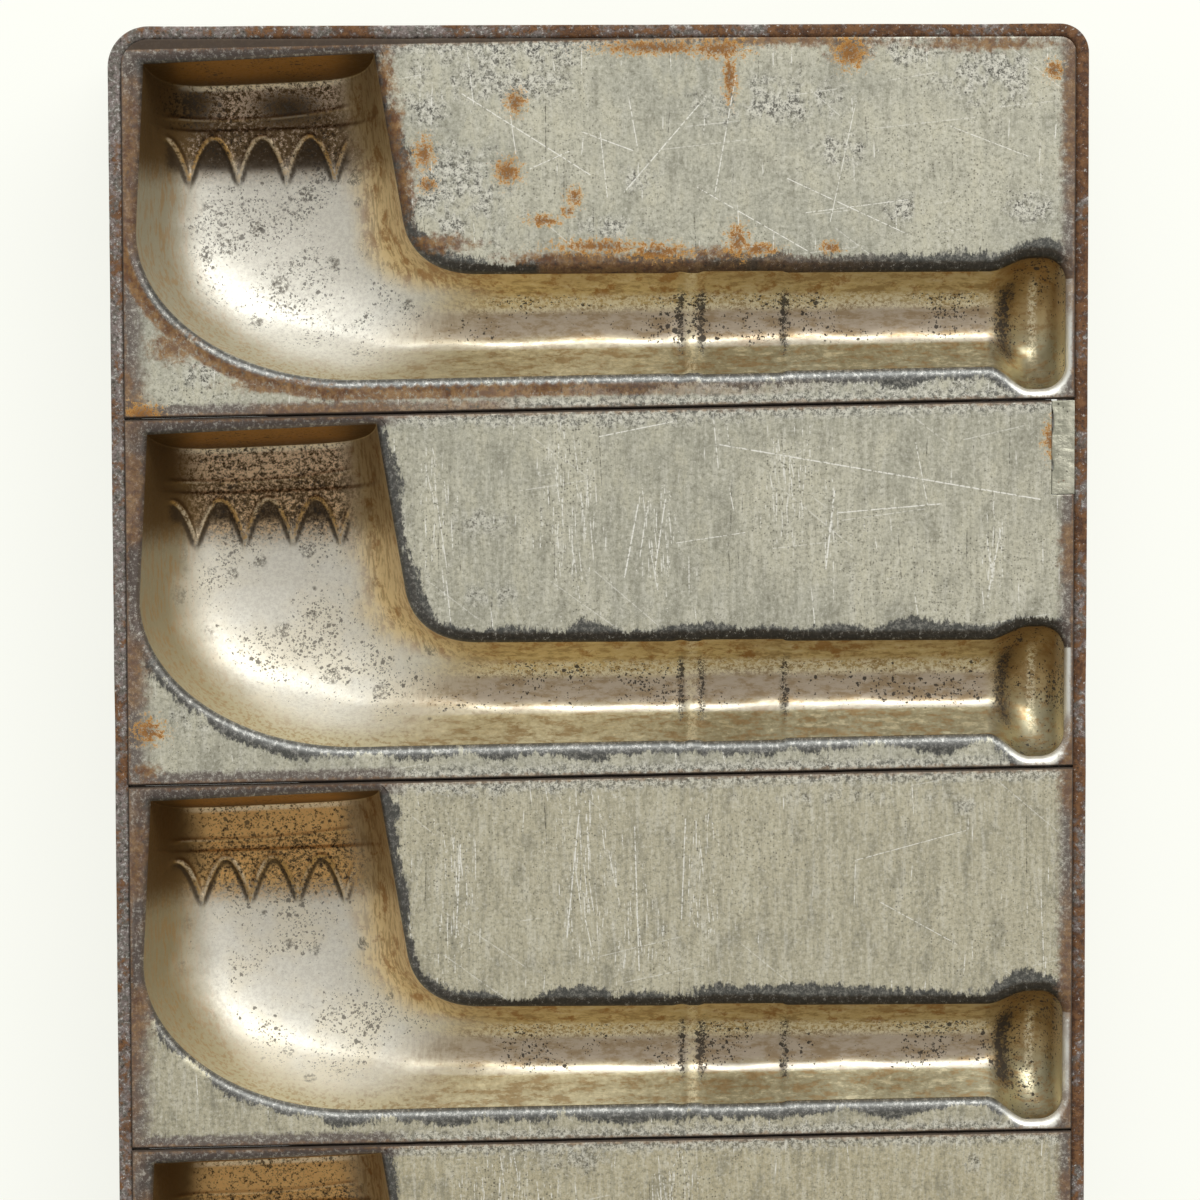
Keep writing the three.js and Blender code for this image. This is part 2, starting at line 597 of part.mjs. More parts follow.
// Splice plate over the band's joint, with two rivets through each end of the band
const spliceHoles = [];
const spliceMiddle = SPLICE_LIFT + SPLICE_HEIGHT / 2;
const inFromEnd = new THREE.Vector3(0, 1, 0);
for (let i = 1; i <= SPLICE_RIVETS; i++) {
  const along = (i - 0.5) / SPLICE_RIVETS - 0.5;
  const place = new THREE.Vector3(along * SPLICE_LENGTH, -INNER_Y - STRIP, spliceMiddle);
  spliceHoles.push(driven(place, inFromEnd, RIVET_CLEARANCE));
  addPiece(`splice_rivet_${i}`, driven(place, inFromEnd), RIVET_STEEL);
}
const splice = new THREE.BoxGeometry(SPLICE_LENGTH, STRIP, SPLICE_HEIGHT)
  .translate(0, -INNER_Y + STRIP / 2, spliceMiddle);
addPiece('band_splice', cut(splice, spliceHoles), STRIP_STEEL);
addPiece('frame_band', frameBand([...bandHoles, ...spliceHoles]), STRIP_STEEL);

// Solder tacks under each plate's two ends, and along the frame's two ends
for (let row = 1; row <= ROWS; row++) {
  const tabEnd = ROW_PITCH / 2 - TAB_LENGTH - TACK_TAB_GAP;
  const near = new THREE.Vector3(-INNER_X, rowCentre(row) - tabEnd + TACK_SIDE_LENGTH, UNDERSIDE);
  placeTack(`solder_near_${row}`, TACK_SIDE_LENGTH, near, new THREE.Vector3(1, 0, 0));
  const far = new THREE.Vector3(INNER_X, rowCentre(row) + tabEnd - TACK_FAR_LENGTH, UNDERSIDE);
  placeTack(`solder_far_${row}`, TACK_FAR_LENGTH, far, new THREE.Vector3(-1, 0, 0));
}
const topEnd = new THREE.Vector3(HEEL_RIGHT.x + TACK_END_LENGTH, INNER_Y, UNDERSIDE);
placeTack('solder_top', TACK_END_LENGTH, topEnd, new THREE.Vector3(0, -1, 0));
const bottomStart = new THREE.Vector3(HEEL_RIGHT.x, -INNER_Y, UNDERSIDE);
placeTack('solder_bottom', TACK_END_LENGTH, bottomStart, new THREE.Vector3(0, 1, 0));

// Solder that fills the short end of the patched row, as thick as the sheet
const patchLow = PLATE_Q - PATCH_LENGTH + SEAM_GAP;
const patchNear = PLATE_X - PATCH_WIDTH + SEAM_GAP;
const patchPoint = (p, q) => new THREE.Vector2(p, rowCentre(PATCH_ROW) + q + SLANT * p);
const patchPlan = new THREE.Shape([
  patchPoint(patchNear, patchLow), patchPoint(PLATE_X, patchLow),
  patchPoint(PLATE_X, PLATE_Q), patchPoint(patchNear, PLATE_Q)]);
const patch = new THREE.ExtrudeGeometry(patchPlan, { depth: SHEET, bevelEnabled: false });
addPiece('solder_patch', patch.translate(0, 0, UNDERSIDE), SOLDER);

export default mould;
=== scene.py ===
# %% [markdown]
# A flat confectionery mould of tinned steel, seen from above. Four pressed plates, each with a cavity in the
# form of half a tobacco pipe, lie side by side in a frame of strip steel.
#
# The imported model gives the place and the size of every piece. Here each piece gets its fine surface and
# its finish. All shapes are worked out with numpy in millimetres and become metres when a mesh is made.

# %% Load the frame
import math

import bmesh
import bpy
import numpy as np
from mathutils import Euler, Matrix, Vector


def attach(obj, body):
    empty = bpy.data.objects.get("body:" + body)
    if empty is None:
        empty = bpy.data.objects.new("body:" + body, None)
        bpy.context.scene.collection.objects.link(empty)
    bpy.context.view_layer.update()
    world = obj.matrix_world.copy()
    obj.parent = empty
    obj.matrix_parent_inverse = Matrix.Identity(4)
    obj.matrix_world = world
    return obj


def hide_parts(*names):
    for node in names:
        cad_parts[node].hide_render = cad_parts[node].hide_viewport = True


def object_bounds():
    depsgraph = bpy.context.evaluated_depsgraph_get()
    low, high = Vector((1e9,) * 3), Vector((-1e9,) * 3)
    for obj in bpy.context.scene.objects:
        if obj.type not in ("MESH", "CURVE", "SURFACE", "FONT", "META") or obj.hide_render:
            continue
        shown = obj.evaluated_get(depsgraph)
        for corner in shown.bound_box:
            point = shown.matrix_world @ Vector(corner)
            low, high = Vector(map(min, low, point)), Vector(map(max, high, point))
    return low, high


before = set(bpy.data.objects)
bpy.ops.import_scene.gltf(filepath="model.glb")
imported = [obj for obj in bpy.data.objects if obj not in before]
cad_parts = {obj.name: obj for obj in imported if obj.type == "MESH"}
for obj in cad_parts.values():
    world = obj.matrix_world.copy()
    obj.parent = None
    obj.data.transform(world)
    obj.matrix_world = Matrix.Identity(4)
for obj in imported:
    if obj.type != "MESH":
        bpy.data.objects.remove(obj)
cad_low, cad_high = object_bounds()
MM = 0.001
print(len(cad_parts), "nodes, CAD box", [round(v / MM, 1) for v in (*cad_low, *cad_high)])

# %% [markdown]
# The camera comes first, because it decides how fine each surface has to be. It hangs half a metre above
# the face and looks down, tilted a few degrees so that the lower rows lie a little farther away.

# %% Camera
IMAGE_PIXELS = 1200
FOCAL_PIXELS = 4108
SENSOR_MM = 36
CAMERA_PLACE = (0.1, 52.1, 500)
CAMERA_TILT = -3.72
CAMERA_ROLL = -0.17

camera_data = bpy.data.cameras.new("photo_camera")
camera_data.sensor_width = SENSOR_MM
camera_data.lens = SENSOR_MM * FOCAL_PIXELS / IMAGE_PIXELS
camera = bpy.data.objects.new("photo_camera", camera_data)
camera.location = Vector(CAMERA_PLACE) * MM
camera.rotation_euler = Euler((math.radians(CAMERA_TILT), 0, math.radians(CAMERA_ROLL)))
bpy.context.scene.collection.objects.link(camera)
bpy.context.scene.camera = camera
print("lens", round(camera_data.lens, 1), "mm")

# %% [markdown]
# A few helpers make every piece: some mix and ease between two values, some follow lines, some count the
# faces of a grid of points, and one turns arrays into a mesh object. Extra values per point ride along as
# named attributes, which the materials read later.

# %% Mesh helpers
MERGE = 0.0005


def ease(x, low=0.0, high=1.0):
    """Smooth step: 0 below low, 1 above high, with level ends."""
    t = np.clip((x - low) / (high - low), 0, 1)
    return t * t * (3 - 2 * t)


def mix(a, b, t):
    """From a to b while t goes from 0 to 1."""
    return a + (b - a) * t


def shares(count):
    """Even shares of a run up to 1, without the 0 at its start."""
    return np.linspace(0, 1, count + 1)[1:]


def pairs(x, y):
    """Two rows of numbers as points in a plane. Either may be a single number."""
    return np.stack(np.broadcast_arrays(x, y), axis=1)


def unit(ways):
    """The same ways with a length of 1."""
    return ways / np.linalg.norm(ways, axis=-1, keepdims=True)


def turned(ways):
    """Ways turned to the right by a quarter."""
    return pairs(ways[:, 1], -ways[:, 0])


def along_length(points):
    """Length along a line of points, from its first point to each point."""
    return np.concatenate([[0], np.cumsum(np.linalg.norm(np.diff(points, axis=0), axis=1))])


def follow(spots, length, line):
    """Points of a line at given lengths along it."""
    return pairs(*(np.interp(spots, length, line[:, k]) for k in (0, 1)))


def wander(length, amount, seed, waves=9, longest=90.0):
    """A wandering line: a sum of sine waves of falling length with seeded phases."""
    draw = np.random.default_rng(seed)
    k = np.arange(1, waves + 1)
    phase = draw.uniform(0, 2 * np.pi, waves)
    size = draw.uniform(0.4, 1.0, waves) / k ** 0.6
    wave = np.sin(2 * np.pi * length[:, None] * k / longest + phase) * size
    return amount * wave.sum(axis=1) / np.sqrt((size ** 2).sum())


def count_grid(rows, columns):
    """Counts of a grid of points, row by row."""
    return np.arange(rows * columns).reshape(rows, columns)


def grid_faces(rows, columns, closed=False):
    """Quads of a grid of points. A closed grid joins its last row to its first."""
    count = count_grid(rows, columns)
    if closed:
        count = np.vstack([count, count[:1]])
    corners = (count[:-1, :-1], count[1:, :-1], count[1:, 1:], count[:-1, 1:])
    return np.stack([c.ravel() for c in corners], axis=1)


def ring_faces(rings):
    """Quads between neighbouring rings of counts, each of which is closed."""
    count = np.hstack([rings, rings[:, :1]])
    corners = (count[:-1, :-1], count[:-1, 1:], count[1:, 1:], count[1:, :-1])
    return np.stack([c.ravel() for c in corners], axis=1)


def tube_faces(rows, columns):
    """Faces of a tube of closed rings, with a cap at both ends."""
    rings = count_grid(rows, columns)
    return [*ring_faces(rings), rings[0], rings[-1][::-1]]


def make_piece(name, points, faces, values=None, finish=None, smooth=True):
    """Mesh object from points in millimetres, faces, per-point values and a count of the finish per face."""
    mesh = bpy.data.meshes.new(name)
    mesh.from_pydata(np.asarray(points) * MM, [], [list(map(int, f)) for f in faces])
    if finish is not None:
        mesh.polygons.foreach_set("material_index", finish)
    for key, numbers in (values or {}).items():
        layer = mesh.attributes.new(key, "FLOAT", "POINT")
        layer.data.foreach_set("value", np.asarray(numbers, np.float32).ravel())
    work = bmesh.new()
    work.from_mesh(mesh)
    bmesh.ops.remove_doubles(work, verts=work.verts, dist=MERGE * MM)
    bmesh.ops.recalc_face_normals(work, faces=work.faces)
    work.to_mesh(mesh)
    work.free()
    mesh.polygons.foreach_set("use_smooth", np.full(len(mesh.polygons), smooth))
    piece = bpy.data.objects.new(name, mesh)
    bpy.context.scene.collection.objects.link(piece)
    return piece


# %% [markdown]
# The cavity is half of a pipe, lofted through stations. Each station has a point on the outer side, a point
# on the inner side and a depth between them. The bowl is straight, its two sides turn into the stem as two
# Bezier curves, and the stem swells at its bead and its ferrule before it flares into the button.
# Row coordinates are p along the row and q across it, both from the middle of the plate.

# %% Sizes of the plates
ROWS = 4
ROW_PITCH = 43.2
SLANT = math.tan(math.radians(1.05))
HEIGHT = cad_high.z / MM
STRIP = 1.5
SHEET = 0.6
SEAM_GAP = 0.3
EDGE_GAP = 0.035
INNER_X = cad_high.x / MM - STRIP
INNER_Y = cad_high.y / MM - STRIP
PLATE_X = INNER_X - EDGE_GAP
PLATE_Q = (ROW_PITCH - SEAM_GAP) / 2
UNDERSIDE = HEIGHT - SHEET
RIM_RADIUS = 1.1
RIM_LAND = 0.2

HEEL_LEFT = np.array([-54.1, 0.9])
HEEL_RIGHT = np.array([-22.9, 0.9])
MOUTH_LEFT = np.array([-53.05, 19.70])
MOUTH_RIGHT = np.array([-26.15, 20.40])
BOWL_LENGTH = MOUTH_LEFT[1] - HEEL_LEFT[1]
MOUTH_DEPTH = 11.6
BOWL_DEPTH = 13.0
MOUTH_DRAFT = math.tan(math.radians(12))
MOUTH_FULLNESS = 2.2
HEEL_FULLNESS = 1.3
COLLAR_LENGTH = 6.2
COLLAR_SWELL = 0.5
COLLAR_STEP = 0.6

BEND_END = np.array([-28.1, -17.6])
CROTCH_P = -13.9
OUTER_FULLNESS = 9.5
OUTER_RUN = 15.5
CROTCH_FULLNESS = 4.2
CROTCH_RUN = 5.0
BEND_DEPTH = 8.0
STRAIGHT_P = -0.9

STEM_LOW = -17.6
STEM_HEIGHT = 12.2
STEM_TAPER = 1.1
STEM_DEPTH = 5.9
STEM_TIP_DEPTH = 5.3
BEAD_P = 9.5
BEAD_WIDTH = 1.2
BEAD_SWELL = 0.35
FERRULE_P = 11.9
FERRULE_LENGTH = 9.8
FERRULE_SWELL = 0.4
FERRULE_STEP = 0.6

END_P = 54.6
BUTTON_P = 45.6
BUTTON_Q = -12.7
BUTTON_HEIGHT = 15.3
BUTTON_CORNER = 2.8
BUTTON_DEPTH = 6.9
BUTTON_DOME = 4.1
BUTTON_FACET = 0.6
WALL_LIFT = 0.15
STEM_FLOOR = 0.36
UPPER_CORNER = 0.34
LOWER_CORNER = 0.24
CORNER_WANDER = 0.05
FACET_START = 0.45

# %% Stations down the pipe
WALL_ROWS = 18
BOWL_ROWS = 90
BEND_ROWS = 84
STRAIGHT_ROWS = 36
STEM_ROWS = 135
FLARE_ROWS = 24
DOME_ROWS = 30


def bezier(a, b, c, d, t):
    """Cubic Bezier curve through a and d, pulled towards b and c."""
    t = t[:, None]
    return (1 - t) ** 3 * a + 3 * (1 - t) ** 2 * t * b + 3 * (1 - t) * t ** 2 * c + t ** 3 * d


def stem_high(p):
    """Upper side of the stem, which tapers evenly from the heel to the button."""
    return STEM_LOW + STEM_HEIGHT - STEM_TAPER * (p - HEEL_RIGHT[0]) / (BUTTON_P - HEEL_RIGHT[0])


def stem_swell(p):
    """A bead as half a cosine wave, and a ferrule with short ramps at both ends."""
    bead = np.cos(np.pi * np.clip(np.abs(p - BEAD_P) / BEAD_WIDTH, 0, 1)) / 2 + 0.5
    ramp = np.minimum(p - FERRULE_P, FERRULE_P + FERRULE_LENGTH - p) / FERRULE_STEP + 0.5
    return BEAD_SWELL * bead + FERRULE_SWELL * ease(ramp)


def pipe_stations():
    """Outer and inner point, depth, flatness and fullness of every station, from the mouth to the button."""
    s = np.linspace(0, 1, BOWL_ROWS + 1)
    collar_end = COLLAR_LENGTH / BOWL_LENGTH
    collar = COLLAR_SWELL * (1 - ease(s, collar_end - COLLAR_STEP / BOWL_LENGTH, collar_end))
    left = mix(MOUTH_LEFT, HEEL_LEFT, s[:, None])
    right = mix(MOUTH_RIGHT, HEEL_RIGHT, s[:, None])
    bowl = (left, right, mix(MOUTH_DEPTH, BOWL_DEPTH, s) + collar, 0 * s)

    t = shares(BEND_ROWS)
    crotch = np.array([CROTCH_P, stem_high(CROTCH_P)])
    down_left = HEEL_LEFT + OUTER_FULLNESS * unit(HEEL_LEFT - MOUTH_LEFT)
    down_right = HEEL_RIGHT + CROTCH_FULLNESS * unit(HEEL_RIGHT - MOUTH_RIGHT)
    outer_bend = bezier(HEEL_LEFT, down_left, BEND_END - [OUTER_RUN, 0], BEND_END, t)
    inner_bend = bezier(HEEL_RIGHT, down_right, crotch - [CROTCH_RUN, 0], crotch, t)
    bend = (outer_bend, inner_bend, mix(BOWL_DEPTH, BEND_DEPTH, t ** 2), ease(t, FACET_START, 1.0))

    t = shares(STRAIGHT_ROWS)
    low_p, high_p = mix(BEND_END[0], STRAIGHT_P, t), mix(CROTCH_P, STRAIGHT_P, t)
    low, high = pairs(low_p, STEM_LOW), pairs(high_p, stem_high(high_p))
    straight = (low, high, mix(BEND_DEPTH, STEM_DEPTH, t * (2 - t)), 0 * t + 1)

    t = shares(STEM_ROWS)
    p = mix(STRAIGHT_P, BUTTON_P, t)
    swell = stem_swell(p)
    low, high = pairs(p, STEM_LOW - swell / 2), pairs(p, stem_high(p) + swell / 2)
    stem = (low, high, mix(STEM_DEPTH, STEM_TIP_DEPTH, t) + swell, 0 * t + 1)

    t = ease(shares(FLARE_ROWS))
    p = mix(BUTTON_P, END_P - BUTTON_DOME, shares(FLARE_ROWS))
    low = pairs(p, mix(STEM_LOW, BUTTON_Q - BUTTON_HEIGHT / 2, t))
    high = pairs(p, mix(stem_high(BUTTON_P), BUTTON_Q + BUTTON_HEIGHT / 2, t))
    flare = (low, high, mix(STEM_TIP_DEPTH, BUTTON_DEPTH, t), mix(1, BUTTON_FACET, t))

    turn = shares(DOME_ROWS) * np.pi / 2
    p = END_P - BUTTON_DOME + BUTTON_DOME * np.sin(turn)
    past = np.maximum(0, p - (END_P - BUTTON_CORNER))
    half = BUTTON_HEIGHT / 2 - BUTTON_CORNER + np.sqrt(np.maximum(0, BUTTON_CORNER ** 2 - past ** 2))
    low, high = pairs(p, BUTTON_Q - half), pairs(p, BUTTON_Q + half)
    dome = (low, high, mix(RIM_RADIUS, BUTTON_DEPTH, np.cos(turn)), 0 * turn + BUTTON_FACET)

    stations = [np.concatenate(runs) for runs in zip(bowl, bend, straight, stem, flare, dome)]
    full = np.full(len(stations[2]), HEEL_FULLNESS)
    full[:len(s)] = mix(MOUTH_FULLNESS, HEEL_FULLNESS, s)
    return *stations, full


STATIONS = pipe_stations()
print("stations down the pipe", len(STATIONS[2]))

# %% [markdown]
# A section across the bowl is the shallow side of an ellipse, filled out towards the mouth. The stem is
# flatter: a level floor between two sloping walls, with soft corners that gather the light into thin lines.
# The first rows of the grid climb down the drafted wall at the mouth. The ornament of the bowl is real
# relief: a round ridge below the collar and a scalloped band under it, raised along the surface normal.
# Each plate was pressed by itself, so the scallops sit a little differently in each row.

# %% Cavity surface
COLUMNS = 129
EVEN_SHARE = 0.6
COLLAR_RIDGE_Q = 13.5
COLLAR_RIDGE_P = -44.0
COLLAR_RIDGE_CURVE = 0.006
SCALLOP_P = {1: -48.8, 2: -48.4, 3: -48.1, 4: -48.4}
SCALLOP_PITCH = 5.75
SCALLOP_CUSP_Q = 6.3
SCALLOP_TOP_Q = 11.5
SCALLOP_POINT = 0.8
RIDGE_HEIGHT = 0.38
RIDGE_WIDTH = 0.32
COLLAR_RIDGE_SHARE = 0.65
ORNAMENT_LEFT = -52.2
ORNAMENT_RIGHT = -29.0
ORNAMENT_FADE = 1.6
RELIEF_START = 0.35


def scallop_line(p, row):
    """The scalloped line: a row of arches, each the top half of a rounded sine wave."""
    arch = np.abs(np.sin(np.pi * (p - SCALLOP_P[row]) / SCALLOP_PITCH)) ** SCALLOP_POINT
    return mix(SCALLOP_CUSP_Q, SCALLOP_TOP_Q, arch)


def below_scallop(p, q, row):
    """Distance below the scalloped line, measured square to it."""
    steep = (SCALLOP_TOP_Q - SCALLOP_CUSP_Q) * np.pi / SCALLOP_PITCH
    slope = steep * np.cos(np.pi * (p - SCALLOP_P[row]) / SCALLOP_PITCH)
    return (scallop_line(p, row) - q) / np.sqrt(1 + slope ** 2)


def collar_line(p):
    """The collar's ridge, bent a little like a parabola."""
    return COLLAR_RIDGE_Q + COLLAR_RIDGE_CURVE * (p - COLLAR_RIDGE_P) ** 2


def ornament_reach(p):
    """1 where the ornament is pressed, fading to 0 towards both sides of the bowl."""
    left = ease(p, ORNAMENT_LEFT, ORNAMENT_LEFT + ORNAMENT_FADE)
    return left * (1 - ease(p, ORNAMENT_RIGHT - ORNAMENT_FADE, ORNAMENT_RIGHT))


def ornament_height(p, q, row):
    """Height of the two ridges: flat-topped bells of the distance from each line, fading out at the sides."""
    def bell(away):
        return np.exp(-(np.abs(away) / RIDGE_WIDTH) ** 3)
    tallest = np.maximum(COLLAR_RIDGE_SHARE * bell(q - collar_line(p)), bell(below_scallop(p, q, row)))
    return RIDGE_HEIGHT * tallest * ornament_reach(p)


def grid_normals(points):
    """Normals of a grid of points, from the cross product of its two directions. They look upwards."""
    across = np.cross(np.gradient(points, axis=0), np.gradient(points, axis=1))
    across = across / np.maximum(np.linalg.norm(across, axis=2, keepdims=True), 1e-9)
    return across * np.sign(across[..., 2:] + 1e-12)


def corner_ramp(x, softness):
    """Zero below zero and x above it, joined by a soft corner."""
    return (x + np.sqrt(x ** 2 + softness ** 2)) / 2


def stem_walls(side, wave):
    """Rise of the stem's two walls above its floor, 1 at both rims. The lower wall's foot waves a little."""
    def rise(across):
        upper = corner_ramp((across - STEM_FLOOR) / (1 - STEM_FLOOR), UPPER_CORNER)
        foot = STEM_FLOOR + wave
        return upper + corner_ramp((-across - foot) / (1 - foot), LOWER_CORNER)
    ends = rise(-1.0) * (1 - side) / 2 + rise(1.0) * (1 + side) / 2
    return rise(side) / ends


def section_sag(side, facet, full, wave):
    """Sag of a section from 0 at its sides to 1: a filled ellipse, blended with a floor and sloping walls."""
    reach = side * math.cos(math.asin(WALL_LIFT))
    ellipse = np.maximum(0, (np.sqrt(1 - reach ** 2) - WALL_LIFT) / (1 - WALL_LIFT))
    curved = 1 - (1 - ellipse) ** full
    return curved * (1 - facet) + (1 - stem_walls(side, wave)) * facet


def section_sides(stride=1):
    """Places across a section from -1 to 1: even in part, and closer towards the steep sides."""
    even = np.linspace(-1, 1, COLUMNS + 1)[::stride]
    return EVEN_SHARE * even + (1 - EVEN_SHARE) * np.sin(even * np.pi / 2)


def cavity_surface(row, growth, stride):
    """Grid of points of the cavity. A growth above zero gives the back of the sheet, the same horn larger."""
    outer, inner, depth, facet, full = STATIONS
    sides = []
    for line, sign in ((outer, 1), (inner, -1)):
        sides.append(line + sign * growth * turned(unit(np.gradient(line, axis=0))))
    share = np.concatenate([np.arange(WALL_ROWS) / WALL_ROWS, np.ones(len(depth))])
    pick = np.concatenate([np.zeros(WALL_ROWS, int), np.arange(len(depth))])[::stride]
    share = share[::stride, None]
    side = section_sides(stride)[None]
    across = (1 + side) / 2
    wave = wander(along_length((outer + inner) / 2), CORNER_WANDER, row, waves=8, longest=70.0)
    sag = section_sag(side, facet[pick, None], full[pick, None], wave[pick, None])
    deep = depth[pick, None]
    bulge = deep + np.minimum(growth, deep - RIM_RADIUS) - RIM_RADIUS
    fade = 1 - np.clip(np.linalg.norm(outer[pick] - MOUTH_LEFT, axis=1) / BOWL_LENGTH, 0, 1)[:, None]
    foot = share * sag * bulge * MOUTH_DRAFT * fade - growth * fade
    plan = mix(sides[0][pick][:, None], sides[1][pick][:, None], across[..., None])
    plan = plan + foot[..., None] * unit(HEEL_LEFT - MOUTH_LEFT)
    z = HEIGHT - RIM_RADIUS - share * sag * bulge
    points = np.dstack([plan, z])
    if growth == 0:
        relief = ornament_height(points[..., 0], points[..., 1], row) * share * ease(sag, 0.0, RELIEF_START)
        points = points + relief[..., None] * grid_normals(points)
    return points


# %% [markdown]
# Around the cavity the sheet rolls over the rim to the flat. Loops of points carry a quarter round outwards
# and then run on to the outline of the plate, so the whole face is one closed grid without a break. Anchors
# tie places on the rim to places on the outline, and all points between them share out the length evenly.

# %% Rim, flat and outline of a plate
RIM_LOOPS = 8
FLAT_LOOPS = 16
EDGE_LAND = 0.35
CUT_WANDER = 0.05
CUT_SHIFT = 200
CUT_SEED = 80
SEAM_FLARE = 0.145
EDGE_EASING = 0.08
BACK_STRIDE = 3
SEAM_REACH = 0.3
TRACK_POINTS = 20001
SHARP_TURN = 0.5
ON_EDGE = 0.01
FLAT_CROWDING = 1.5
LEAST_LAND = 0.3
LEAST_EASING = 0.6
CORNER_TOP_LEFT = 4.8
CORNER_TOP_RIGHT = 3.4
CORNER_BOTTOM = 4.2
PATCH_ROW = 2
PATCH_WIDTH = 2.7
PATCH_LENGTH = 11.0
FIELD_END_Q = -2.0
ARC_STEPS = 12
PLATE_EDGES = {}


def row_centre(row):
    """Middle of a row along y, halfway between the ends of the frame."""
    return INNER_Y - (row - 0.5) * ROW_PITCH


def lean(points, row):
    """Row coordinates to the frame: the plates lie a little askew, so y climbs along the row."""
    placed = np.array(points, float)
    placed[..., 1] += row_centre(row) + SLANT * placed[..., 0]
    return placed


def across_row(points, row):
    """Distance of points of the frame from the middle of a plate, across its row."""
    return points[:, 1] - row_centre(row) - SLANT * points[:, 0]


def arc(x, y, radius, start):
    """Quarter circle inside the corner at x, y, running counter-clockwise from the start angle."""
    turn = start + np.linspace(0, np.pi / 2, ARC_STEPS + 1)
    centre = np.array([x - math.copysign(radius, x), y - math.copysign(radius, y)])
    return centre + radius * pairs(np.cos(turn), np.sin(turn))


def plate_outline(row):
    """Outline of a plate, counter-clockwise from its upper left corner."""
    edge_y = INNER_Y - EDGE_GAP
    inset = STRIP + EDGE_GAP
    left, right = -PLATE_X, PLATE_X
    upper_left = lean([[left, PLATE_Q]], row)
    upper_right = lean([[right, PLATE_Q]], row)
    low = [lean([[left, -PLATE_Q]], row), lean([[right, -PLATE_Q]], row)]
    if row == 1:
        whole = arc(left, edge_y, CORNER_TOP_LEFT - inset, np.pi / 2)
        upper_left = whole[ARC_STEPS // 2:]
        upper_right = arc(right, edge_y, CORNER_TOP_RIGHT - inset, 0)
    if row == ROWS:
        low = [arc(left, -edge_y, CORNER_BOTTOM - inset, np.pi),
               arc(right, -edge_y, CORNER_BOTTOM - inset, 1.5 * np.pi)]
    if row == PATCH_ROW:
        step, foot = right - PATCH_WIDTH, PLATE_Q - PATCH_LENGTH
        upper_right = lean([[right, foot], [step, foot], [step, PLATE_Q]], row)
    line = [upper_left, *low, upper_right]
    line.append(whole[:ARC_STEPS // 2 + 1] if row == 1 else upper_left)
    return np.vstack(line)


def rim_anchors(loop, stations, columns):
    """Counts along the rim, with the place in row coordinates that the outline has there."""
    bowl, bend = BOWL_ROWS, BOWL_ROWS + BEND_ROWS
    crown = stations - 1 - DOME_ROWS
    tip_low, tip_high = stations - 1, stations - 1 + columns
    crown_high = tip_high + DOME_ROWS
    mouth_right = tip_high + stations - 1
    low, right = -PLATE_Q, PLATE_X
    return [(bowl, (-PLATE_X, HEEL_LEFT[1])), (bend, (BEND_END[0], low)), (crown, (loop[crown, 0], low)),
            (tip_low, (right, loop[tip_low, 1])), (tip_high, (right, loop[tip_high, 1])),
            (crown_high, (right, FIELD_END_Q)), (mouth_right, (loop[mouth_right, 0], PLATE_Q))]


def outline_points(loop, row):
    """A point of the outline for each point of the rim. Sharp corners of the outline stay sharp."""
    outline = plate_outline(row)
    length = along_length(outline)
    dense = np.linspace(0, length[-1], TRACK_POINTS)
    track = follow(dense, length, outline)
    counts, places = [0], [0.0]
    for count, place in rim_anchors(loop, len(STATIONS[2]), COLUMNS):
        target = lean([place], row)[0]
        counts.append(count)
        places.append(dense[np.argmin(np.linalg.norm(track - target, axis=1))])
    counts.append(len(loop))
    places.append(length[-1])
    walk = along_length(np.vstack([loop, loop[:1]])[:, :2])
    spots = np.interp(walk, walk[counts], places)
    way = np.diff(outline, axis=0)
    turning = np.abs(np.diff(np.unwrap(np.arctan2(way[:, 1], way[:, 0]))))
    for corner in 1 + np.flatnonzero(turning > SHARP_TURN):
        nearest = BACK_STRIDE * np.argmin(np.abs(spots[::BACK_STRIDE] - length[corner]))
        spots[nearest] = length[corner]
        spots[nearest - 1] = (spots[nearest - 2] + spots[nearest]) / 2
        spots[nearest + 1] = (spots[nearest + 2] + spots[nearest]) / 2
    placed = follow(spots[:-1], length, outline)
    q = across_row(placed, row)
    uneven = np.abs(wander(placed[:, 0] + CUT_SHIFT, CUT_WANDER, CUT_SEED + row, waves=20, longest=60.0))
    placed[:, 1] -= np.sign(q) * np.where(np.abs(q) > PLATE_Q - ON_EDGE, uneven, 0)
    return placed


def flared(outline, row):
    """The outline at the back of the sheet: the sheared burr reaches farther into the seam than the face."""
    placed = outline.copy()
    nominal = row_centre(row) + SLANT * placed[:, 0]
    q = placed[:, 1] - nominal
    inner = PLATE_Q - SEAM_REACH
    seam = ((q > inner) & (row > 1)) | ((q < -inner) & (row < ROWS))
    placed[:, 1] = np.where(seam, nominal + np.sign(q) * (PLATE_Q + SEAM_FLARE), placed[:, 1])
    return placed


def rim_loop_counts(rows, columns, wall_rows):
    """Counts of the grid's edge points: down the outer side, round the button, up the inner side, mouth."""
    count = count_grid(rows, columns)
    down = count[wall_rows:, 0]
    tip = count[-1, 1:-1]
    back = count[wall_rows:, -1][::-1]
    mouth = count[0, 1:-1][::-1]
    return np.concatenate([down, tip, back, mouth])


